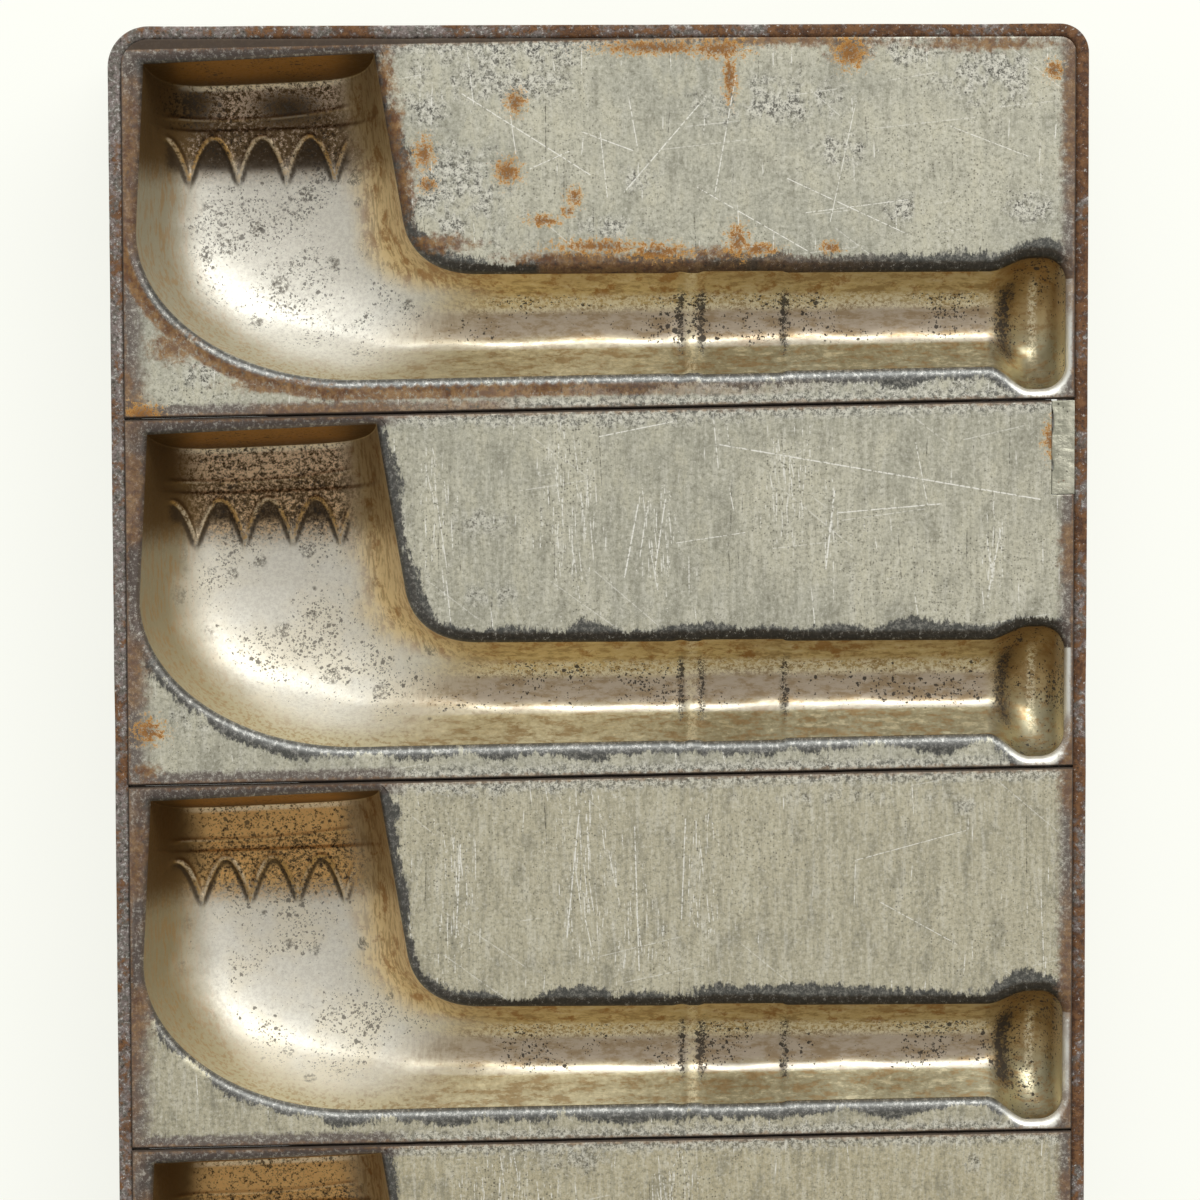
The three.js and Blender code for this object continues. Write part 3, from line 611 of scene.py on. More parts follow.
def plate_side(row, growth, stride):
    """One face of a plate: cavity grid, quarter-round rim and flat. Returns points, faces and edge counts."""
    grid = lean(cavity_surface(row, growth, stride), row)
    rows, columns = grid.shape[:2]
    points = grid.reshape(-1, 3)
    edge = rim_loop_counts(rows, columns, WALL_ROWS // stride)
    loop = points[edge]
    flat_loop = pairs(loop[:, 0], across_row(loop, row))
    outward = unit(turned(np.roll(flat_loop, -1, axis=0) - np.roll(flat_loop, 1, axis=0)))
    room = np.minimum(PLATE_X - np.abs(flat_loop[:, 0]), PLATE_Q - np.abs(flat_loop[:, 1])) - RIM_LAND
    drop = RIM_RADIUS - growth
    width = np.maximum(RIM_LAND / 2, np.minimum(drop, room))
    top = HEIGHT - growth
    turn = (shares(RIM_LOOPS) * np.pi / 2)[:, None, None]
    rim = lean(flat_loop + outward * width[:, None] * (1 - np.cos(turn)), row)
    rim_z = np.broadcast_to(top - drop * (1 - np.sin(turn)), (RIM_LOOPS, len(loop), 1))
    if growth == 0:
        outline = PLATE_EDGES[row] = outline_points(flat_loop, row)
    else:
        outline = flared(PLATE_EDGES[row][::stride], row)
    out = (shares(FLAT_LOOPS) ** FLAT_CROWDING)[:, None, None]
    span = np.linalg.norm(outline - rim[-1], axis=1)[None, :, None]
    land = np.clip(1 - EDGE_LAND / span, LEAST_LAND, 1)
    eased = np.clip(1 - EDGE_EASING / span, LEAST_EASING, 1)
    flat = mix(rim[-1], outline, np.concatenate([out * land, eased, np.ones_like(eased)]))
    flat_z = np.full((FLAT_LOOPS + 2, len(loop), 1), top)
    flat_z[-1] -= math.copysign(EDGE_EASING, 0.5 * SHEET - growth)
    loops = np.concatenate([np.dstack([rim, rim_z]), np.dstack([flat, flat_z])])
    first = len(points)
    ring = np.vstack([edge, first + np.arange(loops.shape[0] * len(loop)).reshape(loops.shape[0], -1)])
    faces = [*grid_faces(rows, columns), *ring_faces(ring)]
    return np.vstack([points, loops.reshape(-1, 3)]), faces, ring[-1], (rows, columns, flat_loop)


# %% [markdown]
# The finish of a plate changes from place to place: patina in the cavity, bare grey metal along the rim,
# worn tin on the flat, rust at the edges. So every point keeps a few measures that the material can read:
# its distance from the rim (below zero in the cavity) and from the edge, where it lies along and across the
# pipe, how much of the ornament is there, where painted shade lies inside the arches, and how much soot and
# painted shade lie in the neck of the button and in the rings of the stem.

# %% Measures for the finish, and the plates
PLATE_VALUES = ("rim_mm", "edge_mm", "along_mm", "side", "q_mm", "end_wall", "ridge", "arch", "collar",
                "soot_and_shade", "lower")
FAR = 60.0
RIM_SKIP = 2
NECK_P = 47.5
NECK_CURVE = 0.03
RINGS = ((9.6, 0.35), (12.0, 0.5), (21.9, 0.45))
MIDDLE_RIM = 0.5
NECK_WIDTH = 1.0
SOOT_AND_SHADE_SIDES = (0.5, 0.8)
ARCH_LINE = (0.1, 0.4)
ARCH_BAND = (0.6, 1.2)
ARCH_FOOT = (4.8, 6.8)
ARCH_FILL_SPAN = 2
COLLAR_LINE = (-0.1, 0.4)
HEEL_TURN = (-50.0, -40.0)
CROTCH_TURN = (-26.0, -14.0)
BLOCK = 4000
ARCH_FILL = {1: 6.4, 2: 7.8, 3: 9.4, 4: 9.4}


def nearest_distance(points, line):
    """Distance in plan from each point to the nearest point of a line: a*a + b*b - 2ab, block by block."""
    blocks = []
    for block in np.array_split(points[:, :2], max(1, len(points) // BLOCK)):
        square = (block ** 2).sum(axis=1)[:, None] + (line ** 2).sum(axis=1) - 2 * block @ line.T
        blocks.append(np.sqrt(np.maximum(0, square.min(axis=1))))
    return np.concatenate(blocks)


def plate_values(points, shape, row):
    """Per-point measures of a plate's face, in the order of their names."""
    rows, columns, flat_loop = shape
    inside = rows * columns
    distance = nearest_distance(points, lean(flat_loop[::RIM_SKIP], row))
    distance[:inside] *= -1
    p, q = points[:, 0], across_row(points, row)
    edge = np.minimum(PLATE_X - np.abs(p), PLATE_Q - np.abs(q))
    outer, inner = STATIONS[:2]
    station = np.concatenate([np.zeros(WALL_ROWS), along_length((outer + inner) / 2)])
    along, side, end_wall, ridge, arch, collar, soot_and_shade = (np.zeros(len(points)) for _ in range(7))
    along[:inside] = np.repeat(station, columns)
    side[:inside] = np.tile(section_sides(), rows)
    end_wall[:WALL_ROWS * columns] = 1
    in_p, in_q = p[:inside], q[:inside]
    ridge[:inside] = ornament_height(in_p, in_q, row) / RIDGE_HEIGHT
    below = below_scallop(in_p, in_q, row)
    # Painted shade with dirt: a dark band under each scallop ridge, which fills the arch above a height set
    # for each row.
    filled = ease(in_q, ARCH_FILL[row], ARCH_FILL[row] + ARCH_FILL_SPAN)
    top_of_arch = np.maximum(1 - ease(below, *ARCH_BAND), filled)
    arch[:inside] = ease(below, *ARCH_LINE) * top_of_arch * ease(in_q, *ARCH_FOOT) * ornament_reach(in_p)
    collar[:inside] = ease(in_q - collar_line(in_p), *COLLAR_LINE)
    # Soot and painted shade: in the neck of the button, and in rings at the edges of the bead and the
    # ferrule, where dark pits gather.
    neck = NECK_P + NECK_CURVE * (in_q - BUTTON_Q) ** 2
    soot_and_shade[:inside] = np.exp(-((in_p - neck) / NECK_WIDTH) ** 2)
    for place, width in RINGS:
        soot_and_shade[:inside] = np.maximum(soot_and_shade[:inside], np.exp(-((in_p - place) / width) ** 2) * (in_q < 0))
    soot_and_shade[:inside] *= 1 - ease(np.abs(side[:inside]), *SOOT_AND_SHADE_SIDES)
    count = len(flat_loop)
    round_loop = np.arange(len(points) - inside) % count
    tip = len(station) - WALL_ROWS + columns
    outer_side = MIDDLE_RIM + (1 - MIDDLE_RIM) * ease(p[inside:], *HEEL_TURN)
    mouth = MIDDLE_RIM * (1 - ease(p[inside:], *CROTCH_TURN))
    lower = np.concatenate([np.zeros(inside), np.where(round_loop < tip, outer_side, mouth)])
    measures = (distance, edge, along, side, q, end_wall, ridge, arch, collar, soot_and_shade, lower)
    return dict(zip(PLATE_VALUES, measures))


def make_plate(row):
    """Closed plate: fine face, coarser back, and a wall of faces between their edges."""
    face, face_quads, face_edge, shape = plate_side(row, 0, 1)
    back, back_quads, back_edge, _ = plate_side(row, SHEET, BACK_STRIDE)
    values = plate_values(face, shape, row)
    behind = {key: np.full(len(back), 0.0 if key == "edge_mm" else FAR) for key in values}
    values = {key: np.concatenate([numbers, behind[key]]) for key, numbers in values.items()}
    back_edge = back_edge + len(face)
    faces = [*face_quads, *(np.asarray(back_quads)[:, ::-1] + len(face))]
    ends = np.roll(back_edge, -1)
    fine = [np.roll(face_edge, -k)[::BACK_STRIDE] for k in range(BACK_STRIDE, -1, -1)]
    faces.extend(np.stack([back_edge, ends, *fine], axis=1))
    finish = np.zeros(len(faces), int)
    finish[:(shape[0] - 1) * (shape[1] - 1)] = 1
    return make_piece(f"plate_{row}", np.vstack([face, back]), faces, values, finish)


plates = {row: make_plate(row) for row in range(1, ROWS + 1)}
print("plates", {piece.name: len(piece.data.polygons) for piece in plates.values()})

# %% [markdown]
# The frame, its cross bars and the splice are strip steel stood on edge. One function carries a rounded
# section along a bent line. The strip is old: it waves a little, and its upper edge is hammered uneven.

# %% Strips on edge
STRIP_EASING = 0.12
STRIP_INSET = 0.03
STRIP_STEP = 0.9
BEND_STEPS = 14
FACE_STEPS = 14
EASING_STEPS = 3
WAVE = 0.07
DENT_START = 0.9


def bent_line(corners, radii):
    """Points along straight runs and round bends, with the direction of travel at each point."""
    corners = [np.array(c, float) for c in corners]
    points, ways = [corners[0]], [unit(corners[1] - corners[0])]
    for before, corner, after, radius in zip(corners, corners[1:], corners[2:], radii):
        way_in, way_out = unit(corner - before), unit(after - corner)
        turn = math.atan2(way_in[0] * way_out[1] - way_in[1] * way_out[0], way_in @ way_out)
        start = corner - way_in * radius * math.tan(abs(turn) / 2)
        centre = start + math.copysign(radius, turn) * np.array([-way_in[1], way_in[0]])
        for k in range(BEND_STEPS + 1):
            a = turn * k / BEND_STEPS
            spin = np.array([[math.cos(a), -math.sin(a)], [math.sin(a), math.cos(a)]])
            points.append(centre + spin @ (start - centre))
            ways.append(spin @ way_in)
    points.append(corners[-1])
    ways.append(unit(corners[-1] - corners[-2]))
    points, ways = np.array(points), np.array(ways)
    length = along_length(points)
    runs = [np.linspace(a, b, max(2, int((b - a) / STRIP_STEP) + 1))[:-1] for a, b in zip(length, length[1:])]
    fine = np.concatenate([*runs, length[-1:]])
    return follow(fine, length, points), unit(follow(fine, length, ways)), fine


def strip_section(bottom, top):
    """Section of a strip on edge: two flat faces joined by eased edges, as offset across and height."""
    half, soft = STRIP / 2, STRIP_EASING
    rise = np.linspace(bottom + soft, top - soft, FACE_STEPS + 1)
    turn = np.linspace(0, np.pi / 2, EASING_STEPS + 1)
    crown = np.linspace(half - soft, -half + soft, 4)[1:-1]
    upper = pairs(half - soft + soft * np.cos(turn), top - soft + soft * np.sin(turn))[1:]
    half_loop = np.vstack([pairs(half, rise), upper, pairs(crown, top)])
    mirrored = half_loop * [-1, -1] + [0, bottom + top]
    return np.vstack([half_loop, mirrored])


def make_strip(name, corners, radii, bottom, top, seed):
    """Carries the section along the bent line, waves it a little and closes both ends."""
    line, heading, length = bent_line(corners, radii)
    side = turned(heading)
    section = strip_section(bottom, top)
    offset = np.broadcast_to(section[:, 0], (len(line), len(section)))
    height = (section[:, 1] - bottom) / (top - bottom)
    wave = np.minimum(0, wander(length, WAVE, seed)[:, None] * (height - 0.5)) - STRIP_INSET
    dents = wander(length, WAVE, seed + 1, waves=16, longest=40.0)[:, None] * ease(height, DENT_START)
    plan = line[:, None] + side[:, None] * (offset + wave)[..., None]
    z = np.broadcast_to(section[:, 1], offset.shape) - np.maximum(0, dents)
    points = np.dstack([plan, z]).reshape(-1, 3)
    return make_piece(name, points, tube_faces(len(line), len(section)))


# %% Frame band, cross bars and splice
BAND_JOINT_GAP = 0.4
BAR_HEIGHT = 13.5
TAB_LENGTH = 9.5
BEND_RADIUS = 1.8
SPLICE_LENGTH = 30.0
SPLICE_HEIGHT = 11.0
SPLICE_LIFT = 2.5

band_x, band_y = INNER_X + STRIP / 2, INNER_Y + STRIP / 2
joint = BAND_JOINT_GAP / 2
band_corners = [(joint, -band_y), (band_x, -band_y), (band_x, band_y), (-band_x, band_y),
                (-band_x, -band_y), (-joint, -band_y)]
band_radii = [r - STRIP / 2 for r in (CORNER_BOTTOM, CORNER_TOP_RIGHT, CORNER_TOP_LEFT, CORNER_BOTTOM)]
band = make_strip("band", band_corners, band_radii, 0, HEIGHT, seed=11)

bar_x = INNER_X - STRIP / 2
bars = {}
for seam in range(1, ROWS):
    y = INNER_Y - seam * ROW_PITCH
    bar_corners = [(-bar_x, y + TAB_LENGTH), (-bar_x, y), (bar_x, y), (bar_x, y - TAB_LENGTH)]
    bottom = UNDERSIDE - BAR_HEIGHT
    bars[seam] = make_strip(f"bar_{seam}", bar_corners, [BEND_RADIUS] * 2, bottom, UNDERSIDE, seed=20 + seam)
splice_y = -INNER_Y + STRIP / 2
splice_ends = [(-SPLICE_LENGTH / 2, splice_y), (SPLICE_LENGTH / 2, splice_y)]
splice = make_strip("splice", splice_ends, [], SPLICE_LIFT, SPLICE_LIFT + SPLICE_HEIGHT, seed=31)
print("band", len(band.data.polygons), "faces; bars", len(bars), "; splice", len(splice.data.polygons))

# %% [markdown]
# Two rivets hold each tab of a bar to the band, and four hold the splice. Outside they are hammered flush,
# inside they keep a domed head. A rivet is a profile turned round its axis.

# %% Rivets
RIVET_DIAMETER = 2.4
RIVET_HEAD_DIAMETER = 4.4
RIVET_HEAD_HEIGHT = 1.1
COUNTERSINK_DIAMETER = 3.6
COUNTERSINK_DEPTH = 0.8
RIVET_FACE = ((0, 0), (0.6, 0), (0.92, 0.01), (1, 0.05))
RIVET_SPACING = 6.0
RIVET_SIDES = 40
RIVET_DOME_STEPS = 10
SPLICE_RIVETS = 4


def rivet_profile():
    """Radius and place along the axis, from the flush outer face to the crown of the inner head."""
    grip = 2 * STRIP
    sink, shank = COUNTERSINK_DIAMETER / 2, RIVET_DIAMETER / 2
    face = [(share * sink, deep) for share, deep in RIVET_FACE]
    outside = [*face, (shank, COUNTERSINK_DEPTH), (shank, grip)]
    turn = np.linspace(0, np.pi / 2, RIVET_DOME_STEPS + 1)
    head = pairs(RIVET_HEAD_DIAMETER / 2 * np.cos(turn), grip + RIVET_HEAD_HEIGHT * np.sin(turn))
    return np.vstack([outside, head])


def make_rivet(name, place, inward):
    """The profile turned about the inward axis from its place on the band's outer face."""
    profile = rivet_profile()
    spin = np.linspace(0, 2 * np.pi, RIVET_SIDES + 1)[:-1, None]
    inward = np.array(inward, float)
    level = np.cross(inward, [0, 0, 1.0])
    around = np.cos(spin)[..., None] * level + np.sin(spin)[..., None] * np.array([0, 0, 1.0])
    points = place + around * profile[None, :, :1] + inward * profile[None, :, 1:]
    faces = grid_faces(RIVET_SIDES, len(profile), closed=True)
    return make_piece(name, points.reshape(-1, 3), faces)


rivets = {}
bar_middle = UNDERSIDE - BAR_HEIGHT / 2
tab_middle = (TAB_LENGTH + BEND_RADIUS) / 2
for seam in range(1, ROWS):
    y = INNER_Y - seam * ROW_PITCH
    for side in (-1, 1):
        for level in (1, -1):
            place = (side * (INNER_X + STRIP), y - side * tab_middle, bar_middle + level * RIVET_SPACING / 2)
            node = f"bar_rivet_{len(rivets) + 1}"
            rivets[node] = make_rivet(f"{node}_fine", np.array(place), (-side, 0, 0))
for k in range(1, SPLICE_RIVETS + 1):
    along = ((k - 0.5) / SPLICE_RIVETS - 0.5) * SPLICE_LENGTH
    place = (along, -INNER_Y - STRIP, SPLICE_LIFT + SPLICE_HEIGHT / 2)
    rivets[f"splice_rivet_{k}"] = make_rivet(f"splice_rivet_{k}_fine", np.array(place), (0, 1, 0))
print("rivets", len(rivets))

# %% [markdown]
# Solder holds the plates from below: short tacks in the corner between the band and the sheet. Each is a
# hollow-faced section carried along the corner, which swells and shrinks as molten metal does and ends in
# rounded blobs. A last piece of solder fills the short end of the second row.

# %% Solder
TACK_LEG = 1.3
TACK_HOLLOW = 0.25
TACK_SIDE_LENGTH = 6.0
TACK_FAR_LENGTH = 14.0
TACK_END_LENGTH = 60.0
TACK_TAB_GAP = 0.5
TACK_STEP = 0.25
TACK_STEPS = 12
TACK_FILL = 0.86
TACK_WANDER = 0.09
TACK_TIP = 0.02
TACK_LEAST = 0.1


def make_tack(name, start, along, inward, length, seed):
    """Hollow-faced section along a corner, scaled by a wandering line and drawn in at both ends."""
    run = np.linspace(0, length, int(length / TACK_STEP) + 1)
    t = np.linspace(0, 1, TACK_STEPS + 1)
    pull = TACK_HOLLOW * TACK_LEG
    reach = 2 * t * (1 - t) * pull + t ** 2 * TACK_LEG
    fall = (1 - t) ** 2 * TACK_LEG + 2 * t * (1 - t) * pull
    section = np.vstack([[0, 0], pairs(reach, -fall)])
    ends = np.sqrt(np.clip(np.minimum(run, length - run) / TACK_LEG, TACK_TIP, 1))
    size = ends * (TACK_FILL + wander(run, TACK_WANDER, seed, waves=8, longest=9.0))
    shape = section[None] * np.clip(size, TACK_LEAST, 1.0)[:, None, None]
    up = np.array([0, 0, 1.0])
    points = np.array(start) + run[:, None, None] * np.array(along, float)
    points = points + shape[..., :1] * np.array(inward, float) + shape[..., 1:] * up
    return make_piece(name, points.reshape(-1, 3), tube_faces(len(run), len(section)))


solder = {}
tab_end = ROW_PITCH / 2 - TAB_LENGTH - TACK_TAB_GAP
for row in range(1, ROWS + 1):
    near = (-INNER_X, row_centre(row) - tab_end, UNDERSIDE)
    far = (INNER_X, row_centre(row) + tab_end - TACK_FAR_LENGTH, UNDERSIDE)
    tacks = (("near", near, 1, TACK_SIDE_LENGTH, 40), ("far", far, -1, TACK_FAR_LENGTH, 50))
    for end, start, side, length, seed in tacks:
        tack = make_tack(f"tack_{end}_{row}", start, (0, 1, 0), (side, 0, 0), length, seed + row)
        solder[f"solder_{end}_{row}"] = tack
for end, side, seed in (("top", 1, 61), ("bottom", -1, 62)):
    start = (HEEL_RIGHT[0], side * INNER_Y, UNDERSIDE)
    tack = make_tack(f"tack_{end}", start, (1, 0, 0), (0, -side, 0), TACK_END_LENGTH, seed)
    solder[f"solder_{end}"] = tack

PATCH_ROUGHNESS = 0.05
PATCH_ROWS = 80
PATCH_COLUMNS = 24
PATCH_FIT = 0.04
RIPPLE_TURN = 7
CRACKS = ((2.4, 1.3), (7.6, 0.7))


def make_patch():
    """A slab with a wrinkled face: ripples across the gap of uneven height, and a fallen edge all round."""
    low = PLATE_Q - PATCH_LENGTH + PATCH_FIT
    q = np.linspace(low, PLATE_Q, PATCH_ROWS + 1)
    open_crack = sum(np.exp(-((PLATE_Q - q - place) / half) ** 4) for place, half in CRACKS)
    near = PLATE_X - PATCH_WIDTH + PATCH_FIT + (SEAM_GAP - PATCH_FIT) * open_crack[:, None]
    across = np.linspace(0, 1, PATCH_COLUMNS + 1)
    grid_p = mix(near, PLATE_X, across)
    grid_q = np.repeat(q[:, None], len(across), axis=1)
    ripple = wander(q, PATCH_ROUGHNESS, 71, waves=22, longest=11.0)[:, None]
    ripple = ripple * (1 + np.sin(RIPPLE_TURN * across + q[:, None])) / 2
    ripple = ripple + wander(across, PATCH_ROUGHNESS / 2, 72, waves=5, longest=1.0)[None]
    z = HEIGHT - PATCH_ROUGHNESS + np.minimum(ripple, PATCH_ROUGHNESS)
    face = lean(np.dstack([grid_p, grid_q, z]), PATCH_ROW)
    back = lean(np.dstack([grid_p, grid_q, np.full_like(z, UNDERSIDE)]), PATCH_ROW)
    points = np.vstack([face.reshape(-1, 3), back.reshape(-1, 3)])
    rows, columns = z.shape
    quads = grid_faces(rows, columns)
    count = count_grid(rows, columns)
    border = np.concatenate([count[:-1, 0], count[-1, :-1], count[:0:-1, -1], count[0, :0:-1]])
    after = np.roll(border, -1)
    walls = np.stack([border, after, after + rows * columns, border + rows * columns], axis=1)
    return make_piece("patch", points, [*quads, *(quads[:, ::-1] + rows * columns), *walls])


solder["solder_patch"] = make_patch()
print("solder pieces", len(solder))

# %% [markdown]
# The finishes are procedural. A short helper adds a node, sets its options and feeds its inputs, and
# arithmetic with the outputs of nodes adds the nodes that do it, so each material reads like a recipe.
# Effects that several metals share are node groups: pits eaten into the metal, long scratches, ragged
# stains and the colour of rust.

# %% Node helpers
class Value:
    """An output of a node. Arithmetic with values adds Math nodes to the tree that they belong to."""

    def __init__(self, socket):
        self.socket = socket

    def __add__(self, other):
        return calc("ADD", self, other)

    def __radd__(self, other):
        return calc("ADD", other, self)

    def __sub__(self, other):
        return calc("SUBTRACT", self, other)

    def __rsub__(self, other):
        return calc("SUBTRACT", other, self)

    def __mul__(self, other):
        return calc("MULTIPLY", self, other)

    def __truediv__(self, other):
        return calc("DIVIDE", self, other)

    def __pow__(self, other):
        return calc("POWER", self, other)

    def __abs__(self):
        return calc("ABSOLUTE", self)


def put(kind, *inputs, tree=None, out=0, **settings):
    """Adds a node to the tree of its inputs, sets its options and feeds its open inputs in order."""
    if tree is None:
        tree = next(value.socket.id_data for value in inputs if isinstance(value, Value))
    node = tree.nodes.new(kind)
    for name, value in settings.items():
        setattr(node, name, value)
    for socket, value in zip([s for s in node.inputs if s.enabled], inputs):
        if isinstance(value, Value):
            tree.links.new(value.socket, socket)
        elif value is not None:
            socket.default_value = value
    return Value([s for s in node.outputs if s.enabled][out] if isinstance(out, int) else node.outputs[out])


def part(value, name):
    """Another output of the node that a value comes from."""
    return Value(value.socket.node.outputs[name])


def feed(node, name, value):
    """Links a value to an input of a node."""
    value.socket.id_data.links.new(value.socket, node.inputs[name])


def calc(operation, a, b=None, clamp=False):
    """One operation with one or two values, kept between 0 and 1 if clamped."""
    return put("ShaderNodeMath", a, b, operation=operation, use_clamp=clamp)


def strongest(best, *masks):
    """The largest of several masks."""
    for mask in masks:
        best = calc("MAXIMUM", best, mask)
    return best


def blend(share, a, b):
    """Colour a with a share of colour b laid over it."""
    return put("ShaderNodeMix", share, a, b, data_type="RGBA")


def between(value, low, high):
    """0 below low, 1 above high and smooth in between. With low above high it falls instead."""
    return put("ShaderNodeMapRange", value, low, high, 0.0, 1.0, interpolation_type="SMOOTHSTEP")


def grain(where, scale, detail=2.0, rough=0.5, dimensions="3D"):
    """Noise of about one value per 1/scale metres."""
    return put("ShaderNodeTexNoise", where, scale, detail, rough, noise_dimensions=dimensions)


def plane_grain(where, scale, detail=2.0, rough=0.5):
    """Noise that depends on x and y only, which is enough for a level face."""
    return grain(where, scale, detail, rough, "2D")


def stretch(where, scale=(1, 1, 1), shift=(0, 0, 0)):
    """The place, scaled, so that a pattern runs longer one way."""
    return put("ShaderNodeMapping", where, shift, None, scale, vector_type="TEXTURE")


def nothing(where):
    """Zero, in the tree of another value."""
    zero = put("ShaderNodeValue", tree=where.socket.id_data)
    zero.socket.default_value = 0.0
    return zero


def axis(where, name):
    """One coordinate of a place."""
    return put("ShaderNodeSeparateXYZ", where, out=name)


def vector(operation, *inputs, out="Vector"):
    """One operation with vectors."""
    return put("ShaderNodeVectorMath", *inputs, operation=operation, out=out)


def measure(tree, name):
    """A measure that the mesh carries."""
    return put("ShaderNodeAttribute", tree=tree, out="Fac", attribute_name=name)


def new_group(name, inputs, result="Float"):
    """A node group with named inputs and one result. Returns the group, its inputs and its last node."""
    group = bpy.data.node_groups.new(name, "ShaderNodeTree")
    for label, kind in inputs.items():
        group.interface.new_socket(label, in_out="INPUT", socket_type=f"NodeSocket{kind}")
    group.interface.new_socket("Result", in_out="OUTPUT", socket_type=f"NodeSocket{result}")
    source = group.nodes.new("NodeGroupInput")
    return group, [Value(s) for s in source.outputs if s.name], group.nodes.new("NodeGroupOutput")


def use(group, *inputs):
    """A shared effect, with its inputs in order."""
    return put("ShaderNodeGroup", *inputs, node_tree=group)


def new_material(name):
    """A material, its node tree and the place on the piece in metres."""
    material = bpy.data.materials.new(name)
    material.use_nodes = True
    tree = material.node_tree
    return material, tree, put("ShaderNodeTexCoord", tree=tree, out="Object")


def shade(tree, tone, metallic, rough, strength, depth, height):
    """Feeds the shader: colour, share of metal, roughness, and a bump of a strength and depth."""
    shader = tree.nodes["Principled BSDF"]
    bump = put("ShaderNodeBump", strength, depth, None, height)
    for name, value in {"Base Color": tone, "Metallic": metallic, "Roughness": rough, "Normal": bump}.items():
        feed(shader, name, value)


# %% [markdown]
# Pits are round specks of many sizes. Each cell of a Voronoi pattern gets a random number, and the cells
# whose number lies under the wanted density hold a speck, larger the farther it lies under it.

# %% Shared effects
SCRATCH_LENGTHENING = (6.0, 1.0, 1.0)
SCRATCH_EDGE = (0.00008, 0.00002)
SCRATCH_FADE = 0.0002
OLD_RUST_TONES = ((0.045, 0.020, 0.011, 1), (0.150, 0.060, 0.026, 1))
NEW_RUST_TONES = ((0.36, 0.13, 0.018, 1), (0.60, 0.36, 0.085, 1))


def pits_group(name, dimensions):
    """Round specks in some cells of a Voronoi pattern, more of them and larger where the density is high."""
    group, (where, scale, density), end = new_group(
        name, {"Vector": "Vector", "Scale": "Float", "Density": "Float"})
    cells = put("ShaderNodeTexVoronoi", where, scale, voronoi_dimensions=dimensions)
    number = put("ShaderNodeSeparateColor", part(cells, "Color"))
    reach = calc("SUBTRACT", density, number, clamp=True) ** 0.6 * 0.85
    feed(end, 0, between(reach - part(cells, "Distance"), 0.0, 0.10))
    return group


def scratches_group():
    """Short straight scratches, one in some cells of a stretched Voronoi pattern. The random colour of a
    cell decides whether it has one, how it leans and how long it is."""
    group, (where, turn, scale, density), end = new_group(
        "scratches", {"Vector": "Vector", "Turn": "Vector", "Scale": "Float", "Density": "Float"})
    lined = put("ShaderNodeMapping", where, None, turn, SCRATCH_LENGTHENING, vector_type="TEXTURE")
    cells = put("ShaderNodeTexVoronoi", lined, scale, voronoi_dimensions="2D")
    away = vector("SUBTRACT", lined, part(cells, "Position"))
    along, across = axis(away, "X"), axis(away, "Y")
    chance = put("ShaderNodeSeparateColor", part(cells, "Color"))
    leaning = part(chance, "Green") * 0.9 - 0.45
    thin = between(abs(along * leaning + across), *SCRATCH_EDGE)
    reach = part(chance, "Blue") * 0.67 / scale
    short = between(abs(along) - reach, 0.0, -SCRATCH_FADE)
    feed(end, 0, thin * short * calc("LESS_THAN", part(chance, "Red"), density))
    return group


def stain_group():
    """Oval patch round a centre. Its edge is frayed by a noise, which the caller hands in."""
    group, (where, centre, radii, fray), end = new_group(
        "stain", {"Vector": "Vector", "Centre": "Vector", "Radii": "Vector", "Fray": "Float"})
    scaled = vector("DIVIDE", vector("SUBTRACT", where, centre), radii)
    feed(end, 0, between(vector("LENGTH", scaled, out="Value") + fray, 1.3, 0.3))
    return group


def line_group():
    """One straight scratch from a start along a way, as wide as asked."""
    group, (where, start, way, width), end = new_group(
        "single_scratch", {"Vector": "Vector", "Start": "Vector", "Way": "Vector", "Width": "Float"})
    away = vector("SUBTRACT", where, start)
    dot = vector("DOT_PRODUCT", away, way, out="Value")
    square = vector("DOT_PRODUCT", way, way, out="Value")
    point = vector("SCALE", way, calc("DIVIDE", dot, square, clamp=True))
    gap = vector("DISTANCE", away, point, out="Value")
    feed(end, 0, between(gap / width, 1.2, 0.5))
    return group


def rust_group():
    """Colour of rust from old dark brown to fresh orange, mottled by one noise."""
    group, (where, fresh), end = new_group("rust", {"Vector": "Vector", "Fresh": "Float"}, "Color")
    coarse = between(grain(where, 900.0, 3.0, 0.65), 0.36, 0.66)
    feed(end, 0, blend(fresh, blend(coarse, *OLD_RUST_TONES), blend(coarse, *NEW_RUST_TONES)))
    return group


PITS = pits_group("pits", "3D")
FLAT_PITS = pits_group("flat_pits", "2D")
SCRATCHES = scratches_group()
STAIN = stain_group()
LINE = line_group()
RUST = rust_group()
print("shared effects", [g.name for g in bpy.data.node_groups])
